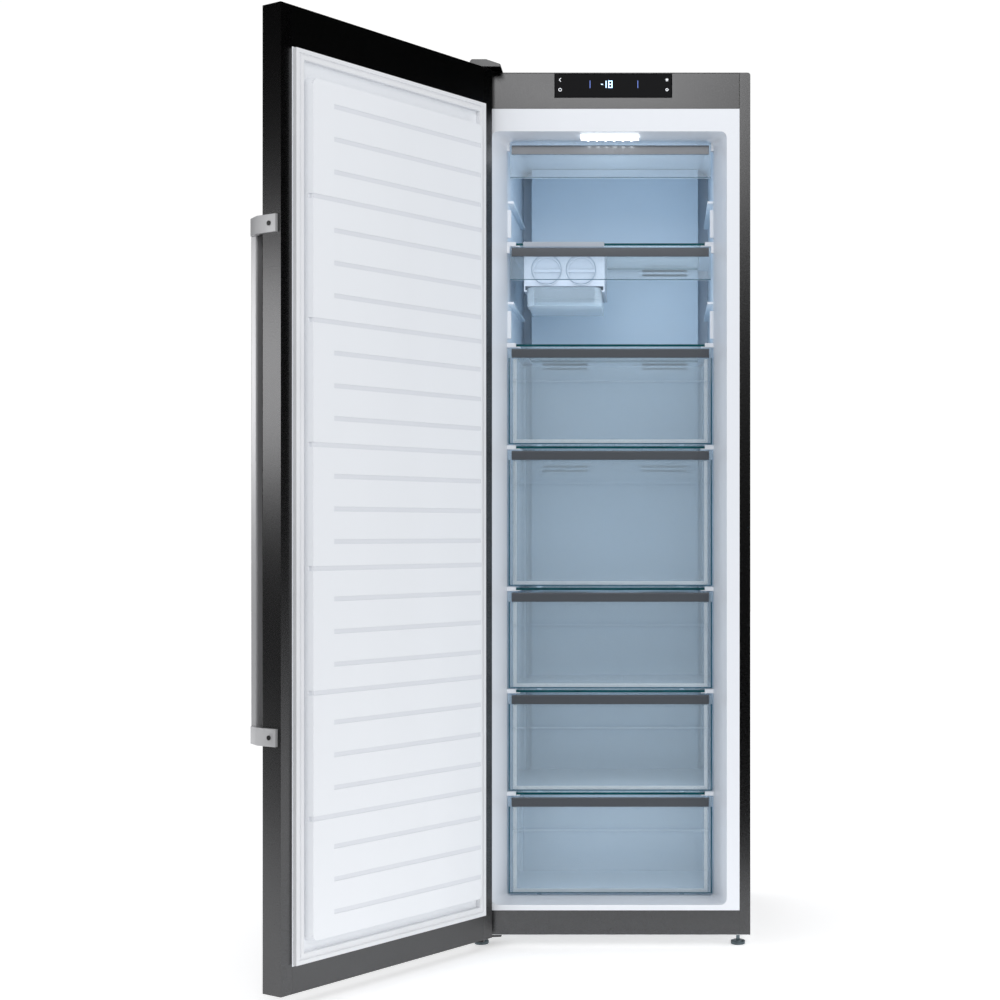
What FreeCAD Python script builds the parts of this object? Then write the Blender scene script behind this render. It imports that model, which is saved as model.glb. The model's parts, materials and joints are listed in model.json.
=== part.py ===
import FreeCAD, Part
import math
import os

# Upright frost-free freezer, one door hinged on the left, two flaps, five drawers.
# Millimetres. +X to the right seen from the front, +Y to the back, +Z up.
# Each piece is drawn about the middle of the cabinet's footprint, on the floor, and then moved
# so that the origin is on the floor under the middle of the front right foot.
# Built with the door standing open; the door is drawn closed and then turned about its hinge.

Vec = FreeCAD.Vector
X_AXIS = Vec(1, 0, 0)
Y_AXIS = Vec(0, 1, 0)
Z_AXIS = Vec(0, 0, 1)

# ---- overall -------------------------------------------------------------------------------
CABINET_W = 600.0
CABINET_D = 590.0
CABINET_TOP = 1860.0
CABINET_BOTTOM = 26.0
SHEET = 1.0                      # steel sheet of casing and door skin
CORNER_BEND = 6.0                # bend radius of the wrap-round casing
HALF_W = CABINET_W / 2
FRONT = -CABINET_D / 2           # Y of the cabinet's front plane
RUN_GAP = 0.3                    # gap between a moving piece and what it moves past

# ---- cabinet front frame -------------------------------------------------------------------
FRAME_SIDE_W = 23.0
FRAME_TOP_H = 77.0
FRAME_BOTTOM_H = 52.5
FASCIA_D = 22.0
FASCIA_WALL = 2.5
BASE_T = 1.5
RAIL_T = 1.2
RAIL_D = 20.0

# ---- control panel -------------------------------------------------------------------------
PANEL_LEFT = -116.0
PANEL_RIGHT = 133.0
PANEL_H = 50.0
PANEL_TOP_GAP = 2.0              # fascia edge above the glass
PANEL_GLASS_T = 2.8
BOARD_POCKET_D = 12.0

# ---- inner liner ---------------------------------------------------------------------------
LINER_T = 2.5
MOUTH_HALF = 250.0
MOUTH_LOW = 90.0
MOUTH_HIGH = 1735.0
MOUTH_R = 14.0
THROAT_D = 78.0                  # depth at which the flare ends
THROAT_HALF = 224.0
THROAT_HIGH = 1733.0
FLOOR_Z = 94.0
THROAT_R = 18.0
THROAT_LOW_R = 8.0
CAVITY_D = 525.0
REAR_HALF = 222.0
REAR_HIGH = 1750.0
HUMP_D = 345.0                   # front of the step over the compressor bay
HUMP_TOP = 300.0

# ---- fronts: two flaps, then five drawers --------------------------------------------------
FRONT_D = 80.0                   # depth of the fronts behind the cabinet's front plane
FRONT_T = 3.0
FRONT_HALF = 221.0
FLAP_TOPS = [1722.0, 1500.5]
FLAP_H = 70.0
DRAWER_TOPS = [1281.0, 1059.4, 751.7, 529.5, 307.0]
TRIM_H = 20.0
TRIM_T = 3.0
TRIM_HALF = 214.0
TRIM_CHAMFER = 2.0
GRIP_DROP = 70.0                 # top edge of a front down to its grip ledge
GRIP_REACH = 8.0
GRIP_T = 2.5

# ---- glass shelves -------------------------------------------------------------------------
GLASS_T = 5.0
GLASS_HALF = 205.0
GLASS_FRONT_D = 86.0
GLASS_REAR_D = 455.0
SHELF_CLEAR = 5.0                # top of a front up to the shelf above it
LEDGE_W = 8.0
LEDGE_T = 2.0
RIB_OVER = 2.5                   # how far a rib stands above the glass
RIB_SINK = 1.5                   # how far liner mouldings run into the liner's own wall

# ---- drawers -------------------------------------------------------------------------------
TUB_HALF = 213.5
TUB_WALL = 2.5
TUB_DROP = 8.0                   # side walls end this far below the front's top
TUB_REAR_D = 430.0
LOW_TUB_REAR_D = 331.0
TUB_R = 14.0
SKID_H = 4.3
SKID_W = 10.0
SKID_X = 150.0
SKID_INSET = 12.0

# ---- flaps ---------------------------------------------------------------------------------
FLAP_HALF = 218.0
CHEEK_T = 2.5
CHEEK_D = 9.0
FLAP_PIN_R = 2.5
PIN_PLAY = 0.05
PIN_DROP = 5.0                   # pin below the flap's top edge
PIN_BACK = 3.0                   # pin behind the flap's front face
PIN_REACH = 5.2
LUG_GAP = 0.5
LUG_DROP = 7.0

# ---- ice maker -----------------------------------------------------------------------------
ICE_MID_X = -101.5
ICE_HALF = 88.0
ICE_FRONT_D = 110.0
ICE_REAR_D = 300.0
ICE_WALL = 2.5
ICE_LOW = 1420.5
KNOB_PITCH = 75.0
KNOB_R = 31.5
KNOB_Z = 1453.3
KNOB_FRONT_D = 105.0
KNOB_PLAY = 0.06
TRAY_HALF = 28.0
TRAY_H = 25.0
TRAY_WALL = 1.6
TRAY_CELLS = 4
TRAY_RIM = 4.0                   # rim above the dividers
TRAY_PIN_R = 4.0
TRAY_GAP = 2.0
BIN_LOW = 1376.8
BIN_TOP_GAP = 2.5
BIN_WALL = 2.0
BIN_FRONT_D = 104.0
BIN_CHAMFER = 14.0
RAIL_LEDGE = 4.0
RAIL_DROP = 11.5
BIN_RIM_T = 2.2
HOOK_T = 2.5
HOOK_BACK = 15.0

# ---- evaporator cover, evaporator, fan -----------------------------------------------------
COVER_D = 465.0
COVER_HALF = 198.0
COVER_T = 2.5
VENT_W = 107.0
VENT_H = 5.0
VENT_PITCH = 10.5
VENT_INNER = 65.5                # inner end of each vent from the middle
VENT_ROWS = [1505.0, 1282.0, 1039.0, 749.0]
VENT_RECESS = 12.0
VENT_RECESS_T = 0.8
EVAP_LOW = 470.0
EVAP_H = 230.0
EVAP_HALF = 175.0
EVAP_FINS = 18
FIN_T = 1.2
EVAP_GAP = 8.0
EVAP_TUBE_R = 4.0
EVAP_TUBES = 5
FAN_Z = 1600.0
FAN_R = 52.0
FAN_HUB_R = 13.0
FAN_BLADES = 5
FAN_T = 16.0
FAN_PITCH_DEG = 30.0
MOTOR_R = 28.0
MOTOR_T = 20.0
SHAFT_R = 3.0
SHAFT_PLAY = 0.05

# ---- lamp ----------------------------------------------------------------------------------
LAMP_HALF = 62.5
LAMP_FRONT_D = 28.0
LAMP_D = 28.0
LAMP_H = 6.0
LAMP_LEDS = 6
LED_PITCH = 18.5
LED_R = 3.5

# ---- compressor bay ------------------------------------------------------------------------
BAY_D = 395.0                    # front wall of the bay
BAY_TOP = 255.0
BAY_SHEET = 1.2
POT_X = 130.0
POT_D = 490.0
POT_R = 78.0
POT_LOW = 45.0
POT_H = 160.0
POT_FILLET = 28.0
POT_PLATE_T = 3.0
POT_PLATE_W = 190.0
POT_PLATE_D = 130.0
GROMMET_R = 10.0
GROMMET_INSET = 16.0
DRIP_W = 150.0
DRIP_L = 110.0
DRIP_H = 26.0
DRIP_WALL = 2.0
COIL_R = 3.0
COIL_ROWS = 6
COIL_LOW = 90.0
COIL_PITCH = 24.0
COIL_LEFT = -225.0
COIL_RIGHT = -35.0
COIL_D = 500.0
COIL_STRUT_X = [-190.0, -70.0]
COIL_STRUT_W = 24.0
DRIER_R = 8.0
DRIER_L = 60.0
BAY_SLOT_W = 6.0
BAY_SLOT_H = 70.0
BAY_SLOT_PITCH = 20.0
BAY_SLOT_COUNT = 22
BAY_SLOT_ROWS = [50.0, 160.0]
GLAND_X = -262.0
GLAND_Z = 100.0
GLAND_BORE_R = 3.75
GLAND_R = 9.0
GLAND_FLANGE_R = 13.0
GLAND_FLANGE_T = 4.0
GLAND_L = 12.0

# ---- feet and rollers ----------------------------------------------------------------------
FOOT_INSET = 25.0                # foot's middle from the cabinet's side
FOOT_X = HALF_W - FOOT_INSET
FOOT_D = 35.0
FOOT_PAD_R = 15.0
FOOT_PAD_H = 9.0
FOOT_STEM_R = 4.0
FOOT_STEM_TOP = 46.0
FOOT_INSERT_R = 10.0
FOOT_INSERT_H = 22.0
FOOT_HOLE_R = 6.0
STEM_PLAY = 0.06
ROLLER_INSET = 60.0
ROLLER_X = HALF_W - ROLLER_INSET
ROLLER_D = 545.0
ROLLER_R = 11.0
ROLLER_W = 16.0
AXLE_R = 3.0
AXLE_PLAY = 0.05
BRACKET_T = 1.5
BRACKET_HALF_D = 9.0
BRACKET_LOW = 5.0
ROLLER_SIDE_GAP = 0.5

# ---- door ----------------------------------------------------------------------------------
DOOR_T = 50.0
DOOR_GAP = 10.0
DOOR_TOP = 1859.0
DOOR_LOW = 27.0
DOOR_BEND = 3.0
DOOR_FLANGE_W = 28.0
DOOR_CAP_TOP_H = 77.0
DOOR_CAP_LOW_H = 51.0
DOOR_CAP_T = 3.0
PANEL_INSET = 56.0               # raised inner panel from each door edge
PANEL_LOW = 118.0
PANEL_HIGH = 1732.0
PANEL_PROUD = 23.0
PANEL_TAPER = 4.0
PANEL_R = 16.0
PANEL_WALL = 2.5
DOOR_LINER_T = 2.0
SECTION_LINES = [1509.0, 1278.0, 1046.0, 815.0, 583.0, 349.0]
SECTION_LINE_H = 9.0
RIBS_PER_SECTION = 3
FIRST_RIB_DROP = 58.0
RIB_PITCH = 61.5
RIB_H = 9.0
RIB_SHORT_FREE = 114.0           # rib ends from the door's free edge
RIB_SHORT_HINGE = 63.0
GROOVE_T = 1.2
NOTCH_T = 1.8
GASKET_INSET = 30.0
GASKET_W = 20.0
GASKET_GROOVE_W = 4.0
GASKET_GROOVE_T = 2.5
PIVOT_U = 21.5                   # hinge axis from the door's hinge edge
PIVOT_BACK = 26.0                # hinge axis behind the door's outer face
DOOR_REST_DEG = 124.8
HINGE_PIN_R = 5.0
HINGE_PIN_L = 20.0
HINGE_PLAY = 0.06
BUSH_R = 9.0
BUSH_L = 24.0
BOSS_WALL = 4.0
HINGE_T = 3.0
LOW_HINGE_T = 5.0
HINGE_OUTER = 11.0               # hinge plate's two sides from the cabinet's side
HINGE_INNER = 70.0
HINGE_FRONT_D = 6.0
HINGE_REAR_D = 62.0
HINGE_NOSE = 12.0                # plate round the pivot
SCREW_PLACES = [(54.0, 28.0), (54.0, 52.0), (25.0, 54.0)]    # from the cabinet's side and front
SCREW_R = 2.5
SCREW_PLAY = 0.1
SCREW_HEAD_R = 5.0
SCREW_HEAD_H = 3.0
SCREW_L = 12.0
HINGE_COVER_H = 16.0
HINGE_COVER_WALL = 2.0
HINGE_COVER_GAP = 0.5
HINGE_COVER_SLOPE = 30.0

# ---- handle --------------------------------------------------------------------------------
HANDLE_LOW = 487.0
HANDLE_TOP = 1469.0
HANDLE_BRACKET_H = 33.0
HANDLE_PLATE_T = 6.0
HANDLE_PLATE_REACH = 42.0
HANDLE_STAND = 24.5              # door face to the bar
BAR_W = 17.0
BAR_INSET = 10.0                 # bar's outer side from the door's free edge
BAR_CHAMFER = 2.0
HANDLE_SCREW_R = 3.0
HANDLE_SCREW_HEAD_R = 4.5
HANDLE_SCREW_L = 9.0
HANDLE_SCREW_E = 25.0

# ---- values worked out from those above ----------------------------------------------------
SHELL_IN = HALF_W - SHEET
FRAME_IN = HALF_W - FRAME_SIDE_W
FRAME_HIGH = CABINET_TOP - FRAME_TOP_H
FRAME_LOW = CABINET_BOTTOM + FRAME_BOTTOM_H
BASE_TOP = CABINET_BOTTOM + BASE_T
ROOF_IN = CABINET_TOP - SHEET
SHELF_LOWS = [top + SHELF_CLEAR for top in FLAP_TOPS[1:] + DRAWER_TOPS]
TUB_REARS = [TUB_REAR_D] * (len(DRAWER_TOPS) - 1) + [LOW_TUB_REAR_D]
DRAWER_LOWS = [low + GLASS_T + RUN_GAP + SKID_H for low in SHELF_LOWS[2:]]
DRAWER_LOWS.append(FLOOR_Z + RUN_GAP + SKID_H)
DOOR_OUT = FRONT - DOOR_GAP - DOOR_T
PIVOT_X = -HALF_W + PIVOT_U
PIVOT_Y = FRONT - DOOR_GAP - DOOR_T + PIVOT_BACK
HINGE_LEFT = HINGE_OUTER - HALF_W
HINGE_RIGHT = HINGE_INNER - HALF_W
HINGE_SCREWS = [(inset - HALF_W, d) for inset, d in SCREW_PLACES]
ORIGIN = Vec(FOOT_X, FRONT + FOOT_D, 0)
PIVOT_E = PIVOT_Y - DOOR_OUT
GASKET_T = DOOR_GAP - RUN_GAP
FRAME_ICE_HIGH = SHELF_LOWS[0] - RUN_GAP


# ---- geometry helpers ----------------------------------------------------------------------
def depth(d):
    """Y of a depth behind the cabinet's front plane."""
    return FRONT + d


def box(x0, x1, y0, y1, z0, z1):
    return Part.makeBox(x1 - x0, y1 - y0, z1 - z0, Vec(x0, y0, z0))


def deep_box(x0, x1, d0, d1, z0, z1):
    return box(x0, x1, depth(d0), depth(d1), z0, z1)


def both_sides(shape):
    return shape.fuse(shape.mirror(Vec(0, 0, 0), X_AXIS))


def cylinder(radius, start, end):
    along = end.sub(start)
    return Part.makeCylinder(radius, along.Length, start, along)


def prism(points, direction):
    """A closed outline of points in one plane, pushed along a direction."""
    return Part.Face(Part.makePolygon(points + points[:1])).extrude(direction)


def prism_up(outline, z0, z1):
    return prism([Vec(x, y, z0) for x, y in outline], Vec(0, 0, z1 - z0))


def rounded_frame(half, low, high, low_radius, high_radius, y):
    """Closed wire: a rectangle with rounded corners in the plane Y = y."""
    corners = [(1, 1), (-1, 1), (-1, -1), (1, -1)]
    arcs = []
    for side, lift in corners:
        edge_z = high if lift > 0 else low
        radius = high_radius if lift > 0 else low_radius
        cut = radius * (1 - math.sqrt(0.5))
        flat = Vec(side * (half - radius), y, edge_z)
        mid = Vec(side * (half - cut), y, edge_z - lift * cut)
        steep = Vec(side * half, y, edge_z - lift * radius)
        ends = (steep, mid, flat) if side * lift > 0 else (flat, mid, steep)
        arcs.append(Part.Arc(*ends).toShape())
    edges = []
    for index, arc in enumerate(arcs):
        following = arcs[(index + 1) % len(arcs)]
        edges.append(arc)
        edges.append(Part.makeLine(arc.Vertexes[-1].Point, following.Vertexes[0].Point))
    return Part.Wire(Part.__sortEdges__(edges))


def rounded_tub(half, y0, y1, z0, z1, radius):
    """Upright block whose two rear corners are rounded."""
    solid = box(-half, half, y0, y1, z0, z1)
    rear = [e for e in solid.Edges if e.Length == z1 - z0 and e.CenterOfMass.y > (y0 + y1) / 2]
    upright = [e for e in rear if abs(e.tangentAt(e.FirstParameter).z) > 0.99]
    return solid.makeFillet(radius, upright)


def fuse_all(shapes):
    whole = shapes[0]
    if len(shapes) > 1:
        whole = whole.multiFuse(shapes[1:])
    return whole.removeSplitter()


def cut_all(shape, tools):
    return shape.cut(Part.makeCompound(tools)) if len(tools) > 1 else shape.cut(tools[0])


def export(name, shapes):
    solids = []
    for shape in shapes if isinstance(shapes, list) else [shapes]:
        solids.extend(solid.translated(-ORIGIN) for solid in shape.Solids)
    for solid in solids:
        if not solid.isValid():
            print("not valid:", name)
    whole = solids[0] if len(solids) == 1 else Part.makeCompound(solids)
    whole.exportStep("parts/" + name + ".step")
    print(name, len(solids), "solids", round(whole.Volume / 1000, 1), "cm3")


# ---- cabinet -------------------------------------------------------------------------------
def roof_section(half, top, radius, y0, y1):
    """Block with its two upper corners rounded, between two Y planes."""
    solid = box(-half, half, y0, y1, CABINET_BOTTOM, top)
    upper = [e for e in solid.Edges if e.CenterOfMass.z > top - 1 and abs(e.CenterOfMass.x) > half - 1]
    return solid.makeFillet(radius, upper)


def hinge_screw_cuts(play):
    cuts = []
    for x, d in HINGE_SCREWS:
        low = Vec(x, depth(d), CABINET_BOTTOM - LOW_HINGE_T)
        top = Vec(x, depth(d), CABINET_TOP + HINGE_T)
        cuts.append(cylinder(SCREW_R + play, low, low + Z_AXIS * SCREW_L))
        cuts.append(cylinder(SCREW_R + play, top - Z_AXIS * SCREW_L, top))
    return cuts


def cabinet_shell():
    outer = roof_section(HALF_W, CABINET_TOP, CORNER_BEND, FRONT, depth(CABINET_D))
    inner = roof_section(SHELL_IN, ROOF_IN, CORNER_BEND - SHEET, FRONT, depth(CABINET_D))
    below = deep_box(-SHELL_IN, SHELL_IN, 0, CABINET_D, CABINET_BOTTOM - 1, CABINET_BOTTOM + 1)
    wrap = outer.cut(inner).cut(below)
    flange = both_sides(deep_box(FRAME_IN, SHELL_IN + SHEET / 2, 0, SHEET, BASE_TOP, CABINET_TOP))
    shell = fuse_all([wrap, flange.common(outer)])
    return cut_all(shell, hinge_screw_cuts(SCREW_PLAY))


def fascia_block():
    return deep_box(-FRAME_IN, FRAME_IN, 0, FASCIA_D, FRAME_HIGH, ROOF_IN)


def panel_box(d0, d1, inset):
    top = ROOF_IN - PANEL_TOP_GAP - inset
    low = ROOF_IN - PANEL_TOP_GAP - PANEL_H + inset
    return deep_box(PANEL_LEFT + inset, PANEL_RIGHT - inset, d0, d1, low, top)


def top_fascia():
    inner = deep_box(-FRAME_IN + FASCIA_WALL, FRAME_IN - FASCIA_WALL, FASCIA_WALL, FASCIA_D,
                     FRAME_HIGH + FASCIA_WALL, ROOF_IN - FASCIA_WALL)
    pocket_back = PANEL_GLASS_T + BOARD_POCKET_D
    block = panel_box(0, pocket_back + FASCIA_WALL, -PANEL_TOP_GAP)
    fascia = fuse_all([fascia_block().cut(inner), block.common(fascia_block())])
    return cut_all(fascia, [panel_box(0, PANEL_GLASS_T, 0), panel_box(PANEL_GLASS_T, pocket_back, 5)])


def control_glass():
    return panel_box(0, PANEL_GLASS_T, RUN_GAP)


def control_board():
    return panel_box(PANEL_GLASS_T, PANEL_GLASS_T + BOARD_POCKET_D / 2, 5 + RUN_GAP)


def rail_block():
    return deep_box(-FRAME_IN, FRAME_IN, 0, RAIL_D, BASE_TOP, FRAME_LOW)


def bottom_rail():
    hollow = deep_box(-FRAME_IN, FRAME_IN, RAIL_T, RAIL_D, BASE_TOP + RAIL_T, FRAME_LOW - RAIL_T)
    return rail_block().cut(hollow)


def base_plate():
    plate = deep_box(-SHELL_IN, SHELL_IN, 0, CABINET_D, CABINET_BOTTOM, BASE_TOP)
    holes = [cylinder(FOOT_HOLE_R, Vec(x, depth(FOOT_D), 0), Vec(x, depth(FOOT_D), FOOT_STEM_TOP))
             for x in (-FOOT_X, FOOT_X)]
    return cut_all(plate, holes + hinge_screw_cuts(SCREW_PLAY))


def rear_panel():
    panel = roof_section(SHELL_IN, ROOF_IN, CORNER_BEND - SHEET, depth(CABINET_D - SHEET),
                         depth(CABINET_D))
    return panel.cut(deep_box(-HALF_W, HALF_W, 0, CABINET_D, 0, BAY_TOP))


def bay_liner():
    wall = deep_box(-SHELL_IN, SHELL_IN, BAY_D - BAY_SHEET, BAY_D, BASE_TOP, BAY_TOP + BAY_SHEET)
    roof = deep_box(-SHELL_IN, SHELL_IN, BAY_D, CABINET_D - SHEET, BAY_TOP, BAY_TOP + BAY_SHEET)
    return fuse_all([wall, roof])


def bay_cover():
    cover = deep_box(-SHELL_IN, SHELL_IN, CABINET_D - BAY_SHEET, CABINET_D, BASE_TOP, BAY_TOP)
    cuts = []
    for low in BAY_SLOT_ROWS:
        for index in range(BAY_SLOT_COUNT):
            x = (index - (BAY_SLOT_COUNT - 1) / 2) * BAY_SLOT_PITCH
            cuts.append(deep_box(x - BAY_SLOT_W / 2, x + BAY_SLOT_W / 2, BAY_D, CABINET_D + 1,
                                 low, low + BAY_SLOT_H))
    gland = Vec(GLAND_X, depth(BAY_D), GLAND_Z)
    cuts.append(cylinder(GLAND_R, gland, gland + Y_AXIS * CABINET_D))
    return cut_all(cover, cuts)


def cord_gland():
    back = Vec(GLAND_X, depth(CABINET_D), GLAND_Z)
    inner = back - Y_AXIS * (GLAND_L - GLAND_FLANGE_T)
    outer = back + Y_AXIS * GLAND_FLANGE_T
    body = fuse_all([cylinder(GLAND_R, inner, back), cylinder(GLAND_FLANGE_R, back, outer)])
    return body.cut(cylinder(GLAND_BORE_R, inner, outer))


# ---- inner liner ---------------------------------------------------------------------------
def cavity(grow):
    """The room inside the liner, or, grown by the wall, the liner's outside."""
    mouth = rounded_frame(MOUTH_HALF + grow, MOUTH_LOW - grow, MOUTH_HIGH + grow,
                          MOUTH_R + grow, MOUTH_R + grow, FRONT)
    throat = rounded_frame(THROAT_HALF + grow, FLOOR_Z - grow, THROAT_HIGH + grow,
                           THROAT_LOW_R + grow, THROAT_R + grow, depth(THROAT_D))
    rear = rounded_frame(REAR_HALF + grow, FLOOR_Z - grow, REAR_HIGH + grow,
                         THROAT_LOW_R + grow, THROAT_R + grow, depth(CAVITY_D + grow))
    flare = Part.makeLoft([mouth, throat], True, True)
    room = Part.makeLoft([throat, rear], True, True)
    step = deep_box(-HALF_W, HALF_W, HUMP_D + grow, CABINET_D, 0, HUMP_TOP - grow)
    return flare.fuse(room).cut(step)


def shelf_rib(low):
    """Moulded rib with a ledge below the glass and a block beside it; right side."""
    wall = THROAT_HALF + RIB_SINK
    block = deep_box(GLASS_HALF + RUN_GAP, wall, GLASS_FRONT_D - 2, GLASS_REAR_D,
                     low - LEDGE_T, low + GLASS_T + RIB_OVER)
    ledge = deep_box(GLASS_HALF - LEDGE_W, GLASS_HALF + 1, GLASS_FRONT_D, GLASS_REAR_D,
                     low - LEDGE_T, low)
    return both_sides(block.fuse(ledge))


def flap_lug(top, high):
    """Ear that carries a flap's pin; right side, with a blind hole."""
    inner = FLAP_HALF + LUG_GAP
    ear = deep_box(inner, THROAT_HALF + RIB_SINK, THROAT_D + 1, FRONT_D + CHEEK_D + 2,
                   top - PIN_DROP - LUG_DROP, high)
    pin = Vec(inner, depth(FRONT_D + PIN_BACK), top - PIN_DROP)
    hole = cylinder(FLAP_PIN_R + PIN_PLAY, pin, pin + X_AXIS * (PIN_REACH - LUG_GAP + RUN_GAP))
    return both_sides(ear.cut(hole))


def side_guide(low):
    """Small moulded guide above a shelf, for a tray or a basket; right side."""
    wall = THROAT_HALF + RIB_SINK
    shelf = deep_box(wall - 14, wall, 100, 440, low + 94, low + 99)
    post = deep_box(wall - 9, wall, 90, 104, low + 18, low + 78)
    return both_sides(shelf.fuse(post))


def inner_liner():
    flange = deep_box(-FRAME_IN, FRAME_IN, 0, LINER_T, FRAME_LOW, FRAME_HIGH)
    skin = flange.fuse(cavity(LINER_T)).cut(cavity(0))
    mouldings = [shelf_rib(low) for low in SHELF_LOWS]
    mouldings.append(flap_lug(FLAP_TOPS[0], THROAT_HIGH + RIB_SINK))
    mouldings.append(flap_lug(FLAP_TOPS[1], SHELF_LOWS[0] - LEDGE_T + 1))
    mouldings.extend(side_guide(low) for low in SHELF_LOWS[:2])
    inside = cavity(LINER_T)
    return fuse_all([skin] + [m.common(inside) for m in mouldings])


def insulation_foam():
    block = roof_section(SHELL_IN, ROOF_IN, CORNER_BEND - SHEET, depth(SHEET), depth(CABINET_D - SHEET))
    block = block.common(deep_box(-HALF_W, HALF_W, 0, CABINET_D, BASE_TOP, CABINET_TOP))
    bay = deep_box(-HALF_W, HALF_W, BAY_D - BAY_SHEET, CABINET_D, 0, BAY_TOP + BAY_SHEET)
    flange = deep_box(-FRAME_IN, FRAME_IN, 0, LINER_T, FRAME_LOW, FRAME_HIGH)
    inserts = [cylinder(FOOT_INSERT_R, Vec(x, depth(FOOT_D), BASE_TOP),
                        Vec(x, depth(FOOT_D), BASE_TOP + FOOT_INSERT_H)) for x in (-FOOT_X, FOOT_X)]
    foam = block.cut(cavity(LINER_T)).cut(bay).cut(flange).cut(fascia_block()).cut(rail_block())
    foam = cut_all(foam, inserts + hinge_screw_cuts(SCREW_PLAY))
    return max(foam.Solids, key=lambda solid: solid.Volume)


def glass_shelves():
    return [deep_box(-GLASS_HALF, GLASS_HALF, GLASS_FRONT_D, GLASS_REAR_D, low, low + GLASS_T)
            for low in SHELF_LOWS]


def led_lamp():
    low = THROAT_HIGH - LAMP_H
    lamp = deep_box(-LAMP_HALF, LAMP_HALF, LAMP_FRONT_D, LAMP_FRONT_D + LAMP_D, low, REAR_HIGH)
    lamp = lamp.common(cavity(0))
    domes = []
    for index in range(LAMP_LEDS):
        x = (index - (LAMP_LEDS - 1) / 2) * LED_PITCH
        centre = Vec(x, depth(LAMP_FRONT_D + LAMP_D / 2), low)
        domes.append(Part.makeSphere(LED_R, centre))
    return fuse_all([lamp] + domes)


# ---- flaps ---------------------------------------------------------------------------------
def trim_strip(top):
    """Coloured strip on the face of a flap or a drawer, with its upper front edge bevelled."""
    back = depth(FRONT_D)
    front = back - TRIM_T
    outline = [(back, top - TRIM_H), (front, top - TRIM_H), (front, top - TRIM_CHAMFER),
               (front + TRIM_CHAMFER, top), (back, top)]
    return prism([Vec(-TRIM_HALF, y, z) for y, z in outline], X_AXIS * (2 * TRIM_HALF))


def flap(top):
    panel = deep_box(-FLAP_HALF, FLAP_HALF, FRONT_D, FRONT_D + FRONT_T, top - FLAP_H, top)
    cheek = deep_box(FLAP_HALF - CHEEK_T, FLAP_HALF, FRONT_D, FRONT_D + CHEEK_D, top - FLAP_H, top - 2)
    pin = Vec(FLAP_HALF - CHEEK_T, depth(FRONT_D + PIN_BACK), top - PIN_DROP)
    stub = cylinder(FLAP_PIN_R, pin, pin + X_AXIS * (CHEEK_T + PIN_REACH))
    lip = deep_box(-FLAP_HALF, FLAP_HALF, FRONT_D, FRONT_D + CHEEK_D, top - FLAP_H,
                   top - FLAP_H + GRIP_T)
    return fuse_all([panel, both_sides(cheek), both_sides(stub), lip])


# ---- drawers -------------------------------------------------------------------------------
def drawer(top, low, rear):
    side_top = top - TUB_DROP
    outer = rounded_tub(TUB_HALF, depth(FRONT_D), depth(rear), low, side_top, TUB_R)
    inner = rounded_tub(TUB_HALF - TUB_WALL, depth(FRONT_D + FRONT_T), depth(rear - TUB_WALL),
                        low + TUB_WALL, side_top + 10, TUB_R - TUB_WALL)
    front = deep_box(-FRONT_HALF, FRONT_HALF, FRONT_D, FRONT_D + FRONT_T, low, top)
    ledge = deep_box(-TRIM_HALF + TUB_WALL, TRIM_HALF - TUB_WALL, FRONT_D - GRIP_REACH, FRONT_D + 1,
                     top - GRIP_DROP - GRIP_T, top - GRIP_DROP)
    skid = deep_box(SKID_X, SKID_X + SKID_W, FRONT_D + SKID_INSET, rear - SKID_INSET, low - SKID_H, low + 1)
    return fuse_all([outer.cut(inner), front, ledge, both_sides(skid)])


# ---- ice maker -----------------------------------------------------------------------------
def knob_axis(side):
    return ICE_MID_X + side * KNOB_PITCH / 2


def ice_frame():
    left = ICE_MID_X - ICE_HALF
    right = ICE_MID_X + ICE_HALF
    outer = deep_box(left, right, ICE_FRONT_D, ICE_REAR_D, ICE_LOW - RAIL_DROP, FRAME_ICE_HIGH)
    inner = deep_box(left + ICE_WALL, right - ICE_WALL, ICE_FRONT_D + ICE_WALL, ICE_REAR_D - ICE_WALL,
                     ICE_LOW - RAIL_DROP, FRAME_ICE_HIGH - ICE_WALL)
    mouth = deep_box(left + ICE_WALL, right - ICE_WALL, ICE_FRONT_D - 1, ICE_FRONT_D + ICE_WALL,
                     ICE_LOW - RAIL_DROP, ICE_LOW)
    ledge_left = deep_box(left, left + ICE_WALL + RAIL_LEDGE, ICE_FRONT_D, ICE_REAR_D,
                          ICE_LOW - RAIL_DROP, ICE_LOW - RAIL_DROP + ICE_WALL)
    ledge_right = ledge_left.copy().mirror(Vec(ICE_MID_X, 0, 0), X_AXIS)
    glass_top = SHELF_LOWS[0] + GLASS_T + RUN_GAP
    hook_front = GLASS_FRONT_D - RUN_GAP - HOOK_T
    arm = deep_box(left, right, hook_front, ICE_FRONT_D + 1, FRAME_ICE_HIGH - ICE_WALL, FRAME_ICE_HIGH)
    nose = deep_box(left, right, hook_front, hook_front + HOOK_T, FRAME_ICE_HIGH - ICE_WALL,
                    glass_top + HOOK_T)
    hook = deep_box(left, right, hook_front, hook_front + HOOK_BACK, glass_top, glass_top + HOOK_T)
    frame = fuse_all([outer.cut(inner).cut(mouth), ledge_left, ledge_right, arm, nose, hook])
    cuts = []
    for side in (-1, 1):
        front = Vec(knob_axis(side), depth(ICE_FRONT_D - 1), KNOB_Z)
        rear = Vec(knob_axis(side), depth(ICE_REAR_D - ICE_WALL - 1), KNOB_Z)
        cuts.append(cylinder(KNOB_R + KNOB_PLAY, front, front + Y_AXIS * (ICE_WALL + 2)))
        cuts.append(cylinder(TRAY_PIN_R + SHAFT_PLAY, rear, rear + Y_AXIS * (ICE_WALL + 2)))
    return cut_all(frame, cuts)


def tray_span():
    """Depths of a tray's front and rear faces."""
    return ICE_FRONT_D + ICE_WALL + TRAY_GAP, ICE_REAR_D - ICE_WALL - TRAY_GAP


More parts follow.
